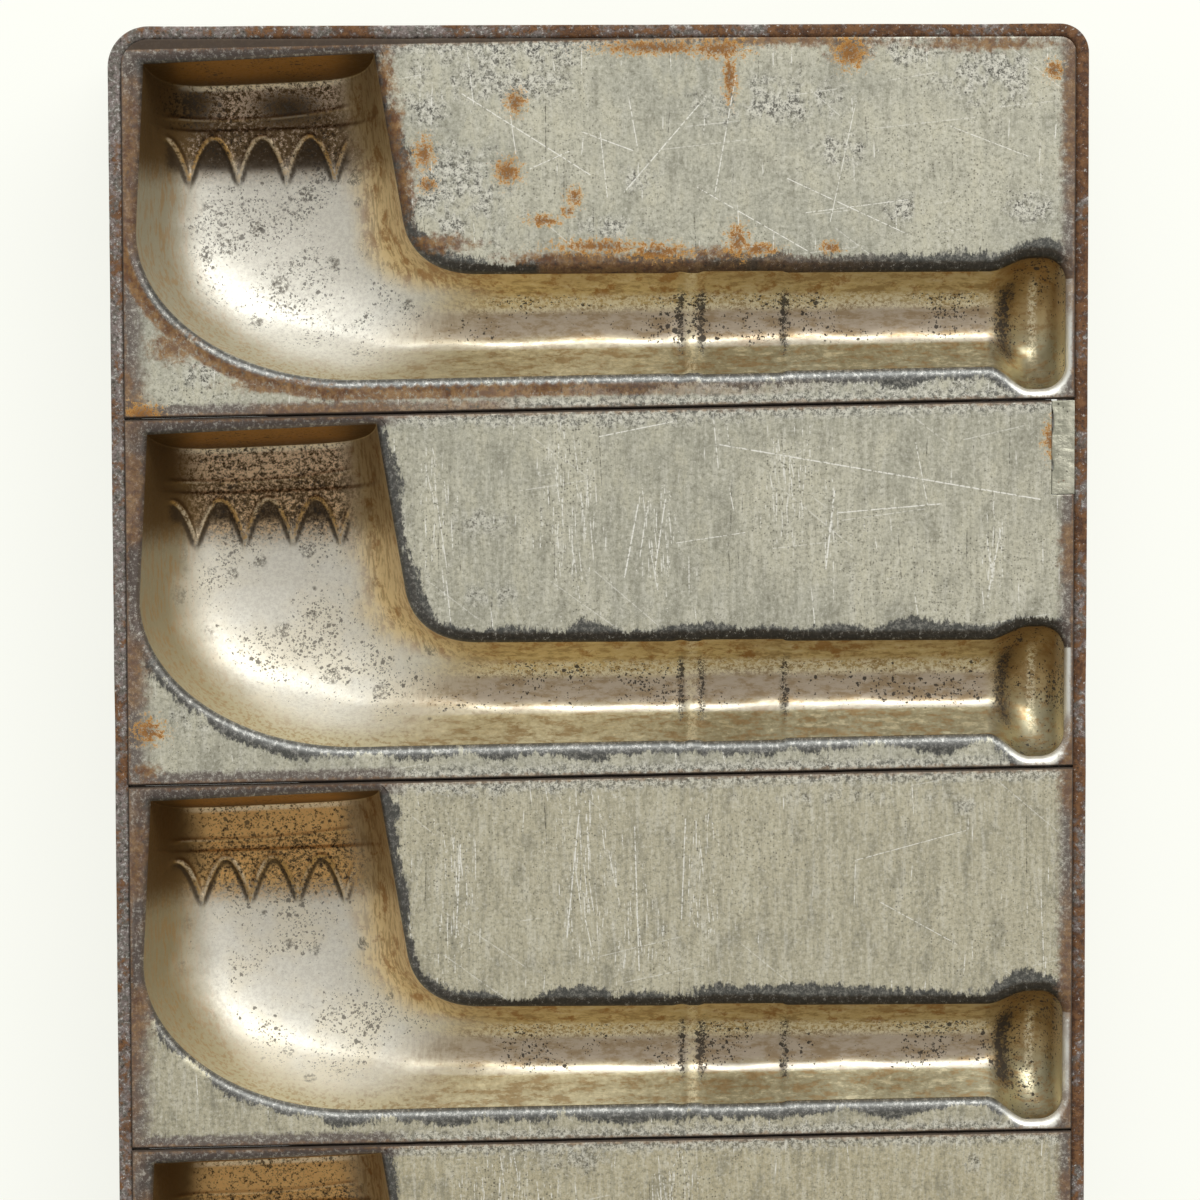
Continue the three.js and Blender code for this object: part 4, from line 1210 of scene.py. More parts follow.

# %% [markdown]
# Worn tin is the finish of the flats. It is pale grey and cream in clouds, with a fine grain, dark specks and
# bright scratches, some in upright bundles where the plates were scraped clean. In places it is eaten away
# to a salt and pepper of tin and iron. Along the rim of the cavity the tin is gone: bare iron on the roll,
# with a frayed grey border. Light and shade are painted on the roll: dark brown on its upper side, lighter
# lead with bright glints on its lower side, and painted highlights on the rim and its lip by the button.
# Rust starts in a few known places. The lists give x and y of each place and then its two radii, or the
# run, rise and width of a scratch.

# %% Worn tin: places of stains and scratches, in millimetres
RUST_SPOTS = [
    (-9.7, 78.9, 1.0, 1.2), (-10.6, 70.9, 1.3, 1.3), (-2.8, 68.0, 0.8, 1.0), (-3.6, 66.3, 0.7, 0.6),
    (-20.3, 73.0, 1.0, 1.5), (-19.9, 69.4, 0.9, 0.7), (29.3, 84.6, 1.4, 1.6), (15.3, 81.8, 0.7, 2.4),
    (6.5, 85.2, 5.5, 0.7), (14.0, 85.0, 3.0, 0.9), (-6.5, 65.2, 1.6, 0.6), (0.1, 62.2, 4.6, 0.7),
    (7.0, 61.6, 3.0, 0.8), (16.2, 62.8, 1.1, 1.6), (18.5, 61.8, 2.0, 0.6), (27.0, 62.0, 1.0, 0.6),
    (53.0, 82.5, 0.9, 1.0), (-53.5, 42.6, 1.8, 1.2), (-53.0, 5.5, 1.6, 1.2), (52.8, 39.5, 0.7, 1.8),
]
OLD_RUST = [
    (-24.7, 82.0, 1.2, 3.6), (-23.8, 76.0, 1.2, 4.5), (-22.6, 69.5, 1.3, 4.5), (-18.5, 62.6, 4.5, 1.2),
    (-3.0, 60.9, 9.0, 0.9), (14.0, 61.4, 6.0, 0.8), (29.3, 84.9, 3.0, 1.6), (-50.0, 50.5, 3.0, 2.0),
    (-38.0, 46.0, 6.0, 0.9), (-53.5, 0.8, 1.8, 1.0), (22.0, 86.0, 15.0, 0.8), (45.0, 85.6, 9.0, 1.0),
    (-5.0, 86.3, 14.0, 0.5),
]
EATEN_PLACES = [
    (-16.5, 67.8, 6.5, 7.0), (-11.0, 81.0, 8.5, 2.4), (-10.0, 84.4, 9.0, 2.0), (-20.0, 79.5, 2.6, 4.5),
    (28.0, 73.2, 3.2, 1.9), (4.8, 70.2, 2.2, 1.8), (46.0, 82.0, 8.0, 3.5), (35.0, 84.5, 7.0, 1.6),
    (1.0, 64.4, 4.0, 1.2), (36.0, 66.5, 2.6, 1.6), (50.5, 66.5, 3.0, 2.0), (26.0, 46.6, 28.0, 1.7),
    (-8.0, 45.6, 14.0, 0.9), (20.0, 79.0, 9.0, 3.0), (43.0, -3.6, 1.6, 1.3), (43.8, -45.2, 1.4, 2.4),
    (-3.0, -45.8, 4.0, 1.6), (-14.0, 30.0, 3.0, 2.0), (-13.0, 21.5, 5.0, 1.4), (30.0, -2.6, 12.0, 0.9),
    (0.0, 41.6, 14.0, 0.7), (-10.0, -1.6, 10.0, 0.8), (-45.0, 7.0, 6.0, 2.0), (-46.0, 46.5, 4.0, 2.5),
]
RUBBED_BANDS = [
    (-3.6, 31.5, 3.2, 9.5), (6.8, 27.5, 2.4, 6.0), (21.8, 34.5, 3.0, 7.5), (27.0, 29.0, 1.0, 6.5),
    (-17.5, -14.0, 2.4, 9.0), (-0.8, -12.5, 3.8, 10.0), (4.6, -19.0, 3.2, 6.5), (12.0, -12.0, 2.2, 9.0),
    (-19.0, 31.0, 2.0, 8.0), (46.0, 27.5, 1.6, 5.0), (-12.0, -52.0, 6.0, 7.0), (9.0, -50.0, 3.0, 6.0),
]
LONG_SCRATCHES = [
    (14.1, 39.0, 37.5, -6.5, 0.09), (-16.0, 80.0, 15.0, -9.5, 0.07), (12.5, 79.5, -9.5, -11.0, 0.08),
    (-2.0, 75.5, 6.0, -2.2, 0.07), (0.2, 75.4, 0.8, -7.5, 0.06), (-8.0, 71.2, 4.5, 2.0, 0.06),
    (16.0, 82.0, -2.5, -14.0, 0.07), (22.0, 70.0, 14.0, -6.5, 0.06), (11.5, 69.0, 13.0, -7.5, 0.06),
    (30.0, 79.0, -3.0, -14.0, 0.05), (24.0, 66.0, 12.0, 1.5, 0.05), (41.0, 76.0, 9.0, -3.5, 0.05),
    (27.5, 33.5, -1.0, -9.0, 0.11), (4.5, 32.0, -1.6, -8.5, 0.10), (5.7, 32.4, -1.0, -6.5, 0.07),
    (7.7, 32.6, -1.2, -8.0, 0.08), (28.0, 31.0, 12.0, 1.0, 0.08), (0.0, 40.0, 9.0, 1.8, 0.07),
    (9.0, 27.5, 8.0, 1.2, 0.05), (47.0, 29.0, -1.5, -8.0, 0.08), (-2.5, -4.0, -1.5, -15.0, 0.08),
    (4.0, -6.0, 0.5, -17.0, 0.08), (-16.5, -8.0, -0.6, -11.0, 0.08), (10.0, -5.0, -0.5, -12.0, 0.07),
    (30.0, -10.0, 13.0, 3.5, 0.05), (33.0, -15.0, 9.0, -5.0, 0.05), (-12.0, -48.0, -1.0, -12.0, 0.07),
]
STAIN_DEPTH = 50.0


def on_row(places, row):
    """Those places of a list that lie on one plate."""
    return [place for place in places if abs(place[1] - SLANT * place[0] - row_centre(row)) < ROW_PITCH / 2]


def patches(where, fray, places):
    """Stains at a list of places, each an oval of two radii."""
    best = nothing(where)
    for x, y, wide, tall in places:
        centre = (x * MM, y * MM, HEIGHT * MM)
        radii = (wide * MM, tall * MM, STAIN_DEPTH * MM)
        best = strongest(best, use(STAIN, where, centre, radii, fray))
    return best


def straight_scratches(where, places):
    """Single scratches at a list of places, each with its run, its rise and its width."""
    best = nothing(where)
    for x, y, run, rise, width in places:
        start = (x * MM, y * MM, HEIGHT * MM)
        best = strongest(best, use(LINE, where, start, (run * MM, rise * MM, 0), width * MM))
    return best


# %% Worn tin: the flat
TIN_PALE = (0.60, 0.585, 0.46, 1)
TIN_GREY = (0.48, 0.475, 0.38, 1)
TIN_WARM = (0.56, 0.50, 0.32, 1)
TIN_CREAM = (0.70, 0.665, 0.49, 1)
TIN_LIGHT = (0.80, 0.785, 0.675, 1)
TIN_BRIGHT = (0.92, 0.91, 0.82, 1)
TIN_SHADE = (0.25, 0.24, 0.18, 1)
SPECK = (0.065, 0.058, 0.044, 1)
PEPPER = (0.085, 0.083, 0.070, 1)
ROW_WARMTH = {1: 0.02, 2: 0.12, 3: 0.6, 4: 0.95}
ROW_BRUSH = {1: 0.18, 2: 0.30, 3: 0.34, 4: 0.34}
ROW_EATEN = {1: 0.85, 2: 0.55, 3: 0.55, 4: 0.55}
BUNDLES = ((93, 1300.0, 1.0), (98, 800.0, 0.7), (89, 2200.0, 1.0))
LOOSE = ((10, 480.0, 0.13), (-38, 420.0, 0.10))
GOUGE_TURN = 91


def flat_finish(where, fray, row):
    """Colour of the flat: clouds, grain, eaten places, specks, upright bundles of scrapes and scratches."""
    broad = plane_grain(where, 60.0, 3.0, 0.6)
    fine = plane_grain(where, 2100.0, 3.0, 0.75)
    cloud = plane_grain(stretch(where, (1, 2, 1), shift=(0.2, 0.1, 0)), 380.0, 4.0, 0.65)
    tone = blend(between(broad, 0.35, 0.65), TIN_GREY, TIN_PALE)
    tone = blend(ROW_WARMTH[row], tone, TIN_WARM)
    tone = blend(between(cloud, 0.5, 0.68) * 0.35, tone, TIN_CREAM)
    tone = blend(between(cloud, 0.48, 0.3) * 0.45, tone, TIN_SHADE)
    brushed = plane_grain(stretch(where, (1, 9, 1)), 1100.0, 4.0, 0.75)
    tone = blend(between(brushed, 0.5, 0.66) * ROW_BRUSH[row], tone, TIN_SHADE)
    tone = blend(between(brushed, 0.48, 0.34) * ROW_BRUSH[row], tone, TIN_LIGHT)
    tone = blend(between(fine, 0.52, 0.7) * 0.65, tone, TIN_SHADE)
    tone = blend(between(fine, 0.46, 0.28) * 0.5, tone, TIN_LIGHT)
    eaten = patches(where, fray, on_row(EATEN_PLACES, row)) * between(cloud, 0.62, 0.44)
    grit = plane_grain(stretch(where, shift=(0.1, 0.3, 0)), 1500.0, 6.0, 0.9)
    tone = blend(between(grit, 0.52, 0.66) * 0.5, tone, TIN_SHADE)
    tone = blend(between(grit, 0.48, 0.34) * 0.3, tone, TIN_LIGHT)
    salt = blend(between(grit, 0.57, 0.46), PEPPER, TIN_LIGHT)
    tone = blend(eaten * ROW_EATEN[row], tone, salt)
    density = between(broad, 0.4, 0.66) * 0.16 + 0.06 + eaten * 0.2
    rubbed = patches(where, fray, on_row(RUBBED_BANDS, row))
    specks = use(FLAT_PITS, where, 2900.0, rubbed * 0.08 + density)
    crumbs = between(broad * 0.18 + grit, 0.72, 0.8)
    tone = blend(strongest(specks, crumbs) * 0.7, tone, SPECK)
    scratched = straight_scratches(where, on_row(LONG_SCRATCHES, row))
    for turn, scale, share in BUNDLES:
        lines = use(SCRATCHES, where, (0, 0, math.radians(turn)), scale, rubbed * share + 0.03)
        scratched = strongest(scratched, lines)
    for turn, scale, share in LOOSE:
        lines = use(SCRATCHES, where, (0, 0, math.radians(turn)), scale, share)
        scratched = strongest(scratched, lines * 0.55)
    gouged = use(SCRATCHES, where, (0, 0, math.radians(GOUGE_TURN)), 950.0, rubbed * 0.3 + 0.05)
    tone = blend(gouged * between(grit, 0.44, 0.54) * 0.8, tone, SPECK)
    skips = between(fine, 0.64, 0.48)
    return blend(scratched * skips, tone, TIN_BRIGHT), fine, broad, grit


# %% Worn tin: rim, rust and shader, with places in the frame in metres
OCHRE = (0.68, 0.46, 0.13, 1)
IRON_BROWN = (0.050, 0.038, 0.026, 1)
IRON_DARK = (0.026, 0.021, 0.015, 1)
SLATE = (0.090, 0.092, 0.085, 1)
SLATE_PALE = (0.29, 0.285, 0.25, 1)
MARGIN_MAUVE = (0.150, 0.118, 0.100, 1)
MARGIN_PALE = (0.46, 0.43, 0.37, 1)
LEAD = (0.165, 0.168, 0.160, 1)
LEAD_GLINT = (0.44, 0.44, 0.41, 1)
CUT_EDGE = (0.055, 0.040, 0.028, 1)
RUST_ORANGE = (0.62, 0.25, 0.035, 1)
RUST_DEEP = (0.24, 0.080, 0.018, 1)
RUST_CORE = (0.05, 0.022, 0.010, 1)
LEFT_MARGIN = (-0.0522, -0.0546)
RIGHT_MARGIN = (0.0534, 0.0548)
ABOVE_BOWL = (-0.022, -0.026)
BUTTON_RIM_HIGHLIGHT = (0.048, 0.0515)
LOWER_LIP_HIGHLIGHT = (0.0465, 0.05)
RING_X = (0.036, -0.01)
RING_Y = (0.07, 0.062)
LOW_RUST_X = (0.01, -0.015)
LOW_RUST_Y = (0.049, 0.047)
BROWNED_X = (0.04, 0.005)


def rim_finish(tree, tone, where, fray, grit):
    """Bare iron along the rim with a frayed grey border; painted light makes the upper roll brown and the
    lower leaden.
    """
    rim = measure(tree, "rim_mm")
    lower = measure(tree, "lower")
    drips = plane_grain(stretch(where, (1, 2.4, 1)), 1500.0, 5.0, 0.8)
    wide = lower * (lower * 1.8 - 2.3) + (plane_grain(where, 130.0, 2.0) * 3.6 + 1.65)
    bare = between(drips * 3.0 + rim - wide, 0.25, -0.15)
    roll = between(fray * 0.3 + rim, 1.55, 1.0)
    grey = blend(between(grit, 0.52, 0.41), SLATE, SLATE_PALE)
    # Painted light on the bare iron: dark brown on the upper roll, and a lighter lead with bright glints on
    # the lower roll.
    brown = blend(between(grit, 0.42, 0.58), IRON_BROWN, IRON_DARK)
    brown = blend(between(grit, 0.4, 0.34) * 0.5, brown, TIN_LIGHT)
    lit_lead = blend(between(grit, 0.5, 0.4), LEAD, LEAD_GLINT)
    # Painted highlight: bright tin on the rim round the button.
    lit_lead = blend(between(axis(where, "X"), *BUTTON_RIM_HIGHLIGHT), lit_lead, TIN_BRIGHT)
    iron = blend(roll, grey, blend(lower, brown, lit_lead))
    return blend(bare * 0.95, tone, iron), bare, lower, rim


def make_worn_tin(row):
    """The finish of one plate's flat, with the stains and scratches that lie on it."""
    material, tree, where = new_material(f"worn_tin_{row}")
    ragged = plane_grain(where, 1000.0, 4.0, 0.75)
    fray = (ragged - 0.5) * 2.4
    tone, fine, broad, grit = flat_finish(where, fray, row)
    edge = measure(tree, "edge_mm")
    x = axis(where, "X")
    ends = fray * 0.0011 + x
    left = between(ends, *LEFT_MARGIN)
    right = between(ends, *RIGHT_MARGIN)
    margin = between(fray * 1.3 + edge, 1.9, 0.5)
    mottle = blend(between(grit, 0.56, 0.45), SLATE, TIN_LIGHT)
    tone = blend(margin * 0.7, tone, mottle)
    tone, bare, lower, rim = rim_finish(tree, tone, where, fray, grit)
    mauve = blend(between(grit, 0.46, 0.4), MARGIN_MAUVE, MARGIN_PALE)
    above = between(fray * 0.5 + edge, 1.7, 1.0) * between(x, *ABOVE_BOWL)
    tone = blend(strongest(left, right, above) * 0.85, tone, mauve)
    # Painted highlight: a bright line on the inner edge of the lower rim near the button.
    lip_highlight = between(fray * 0.15 + rim, 0.85, 0.55) * between(lower, 0.4, 0.8)
    tone = blend(lip_highlight * between(x, *LOWER_LIP_HIGHLIGHT) * 0.9, tone, TIN_BRIGHT)
    seam = between(fray * 0.6 + edge, 0.55, 0.1)
    sides = strongest(left, right) * between(broad, 0.44, 0.6) * 0.8
    old = strongest(sides, seam * 0.7, patches(where, fray, on_row(OLD_RUST, row)))
    if row == 1:
        y = axis(where, "Y")
        ring = between(fray * 0.35 + rim, 2.7, 2.2) * between(rim, 0.8, 1.2)
        ring = ring * between(lower, 0.3, 0.45) * between(x, *RING_X) * between(y, *RING_Y)
        low = between(fray * 0.9 + edge, 1.7, 0.7) * between(y, *LOW_RUST_Y) * between(x, *LOW_RUST_X)
        old = strongest(old, ring, low * between(broad, 0.62, 0.46) * 0.8)
        browned = bare * between(lower, 0.4, 0.1) * between(x, *BROWNED_X)
        old = strongest(old, browned * between(broad, 0.58, 0.44) * 0.75)
    old = old * between(grit, 0.66, 0.52)
    spots = patches(where, grit * 7.5 - 3.7, on_row(RUST_SPOTS, row))
    fresh = between(spots, 0.25, 0.65) * between(grit, 0.62, 0.5)
    core = between(grit * 0.9 + spots, 1.1, 1.35)
    tone = blend(old * 0.9, tone, use(RUST, where, 0.28))
    tone = blend(between(spots, 0.02, 0.35) * between(grit, 0.6, 0.46) * 0.8, tone, OCHRE)
    orange = blend(between(grit, 0.46, 0.58), RUST_ORANGE, RUST_DEEP)
    tone = blend(fresh * 0.85, tone, orange)
    tone = blend(core * 0.6, tone, RUST_CORE)
    cut = between(edge, 0.2, 0.08)
    tone = blend(cut * 0.9, tone, CUT_EDGE)
    dull = strongest(fresh, old, cut * 1.5)
    metal = bare * 0.3 + 0.55
    soft = fine * 0.16 + (bare * -0.08 + 0.46)
    shade(tree, tone, dull * -0.5 + metal, dull * 0.3 + soft, strength=0.35, depth=0.00012, height=ragged)
    return material


worn_tin = {row: make_worn_tin(row) for row in range(1, ROWS + 1)}
print("flats", [m.name for m in worn_tin.values()])

# %% [markdown]
# The cavities kept their tin, and it has aged to the colour of old brass: tan and olive on the walls, silver
# where the bowl's floor was rubbed, greyish rose along the floor of the stem. Painted shade darkens the upper
# bowl, the end wall towards its foot, the walls towards the rims, the inside of each arch together with old
# sugar, and the top and the neck of the button together with soot. Painted highlights mark the stem's lower
# corner, the crests of the ridges and of the bead, a line down the button's floor and its far rim. Black pits
# gather along the floor and in the collar.

# %% Aged cavity: tones, then places along the pipe in millimetres or in the frame in metres
WALL_TAN = (0.78, 0.61, 0.30, 1)
WALL_OLIVE = (0.68, 0.62, 0.41, 1)
WALL_DULL = (0.40, 0.37, 0.245, 1)
WALL_BROWN = (0.34, 0.20, 0.07, 1)
WALL_RUST = (0.40, 0.19, 0.05, 1)
WALL_CREAM = (0.98, 0.88, 0.60, 1)
BOWL_OLIVE = (0.30, 0.25, 0.14, 1)
BOWL_GREY = (0.37, 0.345, 0.26, 1)
BOWL_TAN = (0.95, 0.76, 0.42, 1)
END_BROWN = (0.42, 0.205, 0.045, 1)
END_SHADE = (0.13, 0.070, 0.020, 1)
SILVER = (0.86, 0.845, 0.75, 1)
SILVER_GREY = (0.74, 0.72, 0.635, 1)
BLOTCH = (0.16, 0.145, 0.115, 1)
SILVER_WARM = (0.84, 0.785, 0.63, 1)
GLEAM = (0.95, 0.94, 0.88, 1)
FOOT_CREAM = (1.0, 0.90, 0.66, 1)
ROSE_GREY = (0.58, 0.49, 0.385, 1)
ROSE_BROWN = (0.43, 0.325, 0.205, 1)
COLLAR_SHADE = (0.155, 0.092, 0.032, 1)
COLLAR_GOLD = (0.92, 0.60, 0.24, 1)
COLLAR_GRIT = (0.045, 0.030, 0.018, 1)
ARCH_SHADE_BROWN = (0.050, 0.034, 0.020, 1)
RIDGE_HIGHLIGHT_TAN = (0.76, 0.63, 0.42, 1)
RIDGE_HIGHLIGHT_GOLD = (0.50, 0.30, 0.09, 1)
PALE_CRUST = (0.90, 0.74, 0.56, 1)
SOOT = (0.024, 0.018, 0.012, 1)
GOLD_ROWS = (0.055, 0.005)
BOWL_END = (52.0, 36.0)
BOWL_WALL_END = (46.0, 20.0)
WASHED_END = (70.0, 20.0)
HEEL_REACH = (14.0, 40.0)
STEM_END = (112.0, 109.0)
BUTTON_START = (108.0, 113.0)
COLLAR_START = (6.0, 10.6)
END_WALL_LIT = (0.006, 0.013)
OLIVE_TO_DULL = (-0.01, 0.02)
BEAD_HIGHLIGHT = 0.0108
BEAD_HIGHLIGHT_WIDTH = (0.0009, 0.0003)
BUTTON_HIGHLIGHT_LINE = 0.0512
BUTTON_HIGHLIGHT_WIDTH = (0.0008, 0.0002)
BUTTON_LIP_HIGHLIGHT = (0.0535, 0.0546)
PIT_JITTER = (0.0006, 0.0006, 0.0006)
COLLAR_SOOT = [(-37.1, 79.1, 3.4, 1.6), (-48.5, 79.4, 2.4, 2.2)]


def bowl_tone(tree, tone, where, side, off, golden, broad, fine, grit):
    """Brown painted shade towards the mouth, a gritty collar, more golden in the lower rows, dark arches, the
    end wall.
    """
    # Painted shade: the upper bowl under the end wall turns dark brown, less so on the right wall.
    upper = between(fine * 2.0 + measure(tree, "q_mm"), *COLLAR_START)
    middle = between(off, 0.8, 0.5)
    shaded = between(side, 0.5, 0.9) * -0.55 + 0.95
    tone = blend(upper * shaded, tone, COLLAR_SHADE)
    tint = blend(golden, PALE_CRUST, COLLAR_GOLD)
    wanted = golden * 0.09 + (measure(tree, "collar") * 0.05 + 0.43)
    pale = between(grit - wanted, 0.04, -0.04)
    tone = blend(upper * middle * pale * 0.9, tone, tint)
    tone = blend(upper * middle * between(grit, 0.56, 0.6) * 0.8, tone, COLLAR_GRIT)
    tone = blend(patches(where, grit * 9.0 - 4.4, COLLAR_SOOT) * 0.9, tone, SOOT)
    # Painted shade with dirt: dark brown under each scallop ridge and in the upper arches.
    ragged = between(grit * -1.4 + measure(tree, "arch"), -0.5, 0.35)
    tone = blend(ragged * 0.85, tone, ARCH_SHADE_BROWN)
    # Painted highlight over their tan and gold: the crests of the ornament's ridges are painted lighter.
    crest_highlight = blend(between(broad, 0.46, 0.56), RIDGE_HIGHLIGHT_TAN, RIDGE_HIGHLIGHT_GOLD)
    shown = between(measure(tree, "ridge"), 0.45, 0.95) * between(grit, 0.6, 0.46) * 0.85
    tone = blend(shown, tone, crest_highlight)
    foot = between(measure(tree, "along_mm"), 0.9, 0.4) * middle * between(grit, 0.6, 0.48) * 0.8
    tone = blend(foot, tone, FOOT_CREAM)
    # Painted shade on the end wall: darker towards its foot and its sides.
    lit = between(axis(where, "Z"), *END_WALL_LIT) * between(off, 0.9, 0.5)
    return blend(measure(tree, "end_wall"), tone, blend(lit, END_SHADE, END_BROWN)), upper


def make_aged_cavity():
    """The finish of the cavities: walls, rubbed bowl, floor of the stem, button, collar, pits over all."""
    material, tree, where = new_material("aged_cavity")
    along = measure(tree, "along_mm")
    side = measure(tree, "side")
    broad = grain(where, 120.0, 3.0, 0.6)
    fine = grain(where, 1700.0, 3.0, 0.7)
    grit = grain(where, 2000.0, 5.0, 0.85)
    in_bowl = between(along, *BOWL_END)
    in_stem = (1.0 - in_bowl) * between(along, *STEM_END)
    in_button = between(along, *BUTTON_START)
    off = abs(broad * 0.3 + (side - 0.15))
    down = grain(stretch(where, (1, 5, 1)), 2000.0, 3.0, 0.65)
    level = grain(stretch(where, (2.5, 1, 1)), 900.0, 5.0, 0.75)
    streak = down * in_bowl + level * (1.0 - in_bowl)
    x = axis(where, "X")
    olive = blend(between(x, *OLIVE_TO_DULL), WALL_OLIVE, WALL_DULL)
    tone = blend(between(side, -0.5, 0.5), olive, WALL_TAN)
    bowl_wall = blend(between(side, -0.5, 0.5), BOWL_OLIVE, BOWL_TAN)
    tone = blend(between(along, *BOWL_WALL_END), tone, bowl_wall)
    golden = between(axis(where, "Y"), *GOLD_ROWS)
    washed = (1.0 - golden) * between(side, -0.3, -0.6) * between(along, *WASHED_END)
    tone = blend(washed * 0.6, tone, BOWL_GREY)
    tone = blend(between(streak, 0.48, 0.6) * 0.6, tone, WALL_BROWN)
    tone = blend(between(streak, 0.47, 0.36) * in_stem * 0.4, tone, WALL_CREAM)
    scorched = between(grain(where, 380.0, 5.0, 0.75), 0.5, 0.62) * between(side, 0.4, 0.65)
    tone = blend(scorched * 0.8, tone, WALL_RUST)
    # Painted shade: the walls turn darker brown towards the rims, mostly on the upper side.
    tone = blend(between(off, 0.66, 0.95) * between(side, -0.9, 0.2) * 0.35, tone, WALL_BROWN)
    silver = blend(between(grit, 0.44, 0.56), SILVER, SILVER_GREY)
    silver = blend(golden * between(broad, 0.36, 0.62) * 0.8, silver, SILVER_WARM)
    heel = between(along, *HEEL_REACH)
    spread = heel * between(side, 0.0, -0.5) * -0.14 + off
    tone = blend(between(spread, 0.84, 0.46) * in_bowl, tone, silver)
    spotted = use(PITS, stretch(where, shift=(0.31, 0.17, 0.11)), 330.0, in_bowl * 0.4)
    spotted = spotted * between(grit, 0.44, 0.56) * between(off, 0.85, 0.6)
    tone = blend(spotted * 0.75, tone, BLOTCH)
    gleam = between(abs(side + 0.4), 0.1, 0.04) * in_stem
    tone = blend(gleam * 0.4, tone, GLEAM)
    floor_tone = blend(between(streak, 0.42, 0.62), ROSE_GREY, ROSE_BROWN)
    tone = blend(between(off, 0.44, 0.18) * in_stem * 0.85, tone, floor_tone)
    corner = between(abs(side - 0.42), 0.24, 0.08) * in_stem
    # A speckled cream band along the upper corner of the stem's floor.
    cream_corner = corner * between(grit, 0.54, 0.47)
    tone = blend(cream_corner * 0.85, tone, WALL_CREAM)
    # Painted shade: the upper part of the button is painted brown.
    tone = blend(in_button * between(side, -0.4, 0.5) * 0.7, tone, WALL_BROWN)
    # Painted highlights: a broken cream line down the button's floor, and cream along its far rim.
    crease_highlight = between(abs(x - BUTTON_HIGHLIGHT_LINE), *BUTTON_HIGHLIGHT_WIDTH)
    crease_highlight = crease_highlight * between(off, 0.8, 0.5) * in_button * between(grit, 0.54, 0.45)
    tone = blend(strongest(crease_highlight, between(x, *BUTTON_LIP_HIGHLIGHT)) * 0.8, tone, WALL_CREAM)
    # Painted shade with soot: the neck of the button is painted dark brown.
    soot_and_shade = measure(tree, "soot_and_shade")
    tone = blend(soot_and_shade * in_button * 0.9, tone, COLLAR_SHADE)
    # Painted highlight: a broken cream line on the crest of the bead.
    crest_highlight = between(abs(x - BEAD_HIGHLIGHT), *BEAD_HIGHLIGHT_WIDTH)
    tone = blend(crest_highlight * between(grit, 0.58, 0.46) * 0.55, tone, WALL_CREAM)
    tone, upper = bowl_tone(tree, tone, where, side, off, golden, broad, fine, grit)
    in_middle = (between(off, 0.55, 0.25) * in_stem, between(off, 0.8, 0.4) * in_bowl)
    middle = strongest(*in_middle, corner, in_button)
    density = middle * between(broad, 0.32, 0.64) * 0.6 + 0.05 + soot_and_shade * 0.7
    jitter = put("ShaderNodeTexNoise", where, 2600.0, 2.0, 0.6, out="Color")
    uneven = vector("MULTIPLY_ADD", jitter, PIT_JITTER, where)
    specks = use(PITS, stretch(uneven, shift=(0.13, 0.07, 0.05)), 3600.0, density)
    peppery = between(broad * 0.3 + grit, 0.75, 0.81) * between(off, 0.85, 0.55)
    peppery = peppery * strongest(in_bowl, in_button)
    large = use(PITS, uneven, 1200.0, density * 0.6)
    pitted = strongest(specks, large, peppery, soot_and_shade * between(grit, 0.46, 0.56)) * (in_bowl * -0.2 + 0.9)
    tone = blend(pitted, tone, SOOT)
    metal = in_bowl * (1.0 - upper) * -0.38 + 0.95 - cream_corner * 0.6
    soft = in_bowl * 0.12 + 0.36 - measure(tree, "ridge") * 0.2 + between(fine, 0.35, 0.65) * 0.1
    soft = soft + strongest(pitted, upper * 0.3) * 0.3
    metal = calc("ADD", metal, pitted * -0.7, clamp=True)
    shade(tree, tone, metal, soft, strength=0.07, depth=0.0001, height=pitted * -1.2 + grit)
    return material


aged_cavity = make_aged_cavity()

# %% [markdown]
# The strip has lost most of its tin: mauve-grey metal with pale and black specks, eaten by dark red rust.
# Rivets and solder are simpler relatives of the same finish.

# %% Rusted strip, rivets and solder
STRIP_WORN = (0.62, 0.61, 0.56, 1)
STRIP_MAUVE = (0.26, 0.215, 0.195, 1)
STRIP_GREY = (0.16, 0.145, 0.12, 1)
SOLDER_GREY = (0.40, 0.395, 0.34, 1)
SOLDER_DARK = (0.20, 0.19, 0.16, 1)
PATCH_PALE = (0.60, 0.585, 0.46, 1)
PATCH_DARK = (0.36, 0.355, 0.27, 1)


def make_rusted_strip():
    """Old tin gone mauve-grey, blotches of red rust that grow to the right, and pale and black specks."""
    material, tree, where = new_material("rusted_strip")
    patchy = axis(where, "X") * 1.2 + grain(where, 130.0, 3.0, 0.6)
    ragged = grain(where, 900.0, 4.0, 0.7) * 0.8 + patchy
    rusty = between(ragged, 0.8, 0.98)
    grey = blend(between(grain(where, 1600.0, 3.0, 0.7), 0.42, 0.58), STRIP_MAUVE, STRIP_GREY)
    tone = blend(rusty, grey, use(RUST, where, 0.1))
    grit = grain(where, 1900.0, 5.0, 0.85)
    pale = between(rusty * 0.05 + grit, 0.46, 0.4)
    tone = blend(pale * 0.8, tone, STRIP_WORN)
    tone = blend(between(grit, 0.55, 0.62) * 0.8, tone, SOOT)
    shade(tree, tone, rusty * -0.35 + 0.5, rusty * 0.25 + 0.5, strength=0.5, depth=0.0002, height=ragged)
    return material


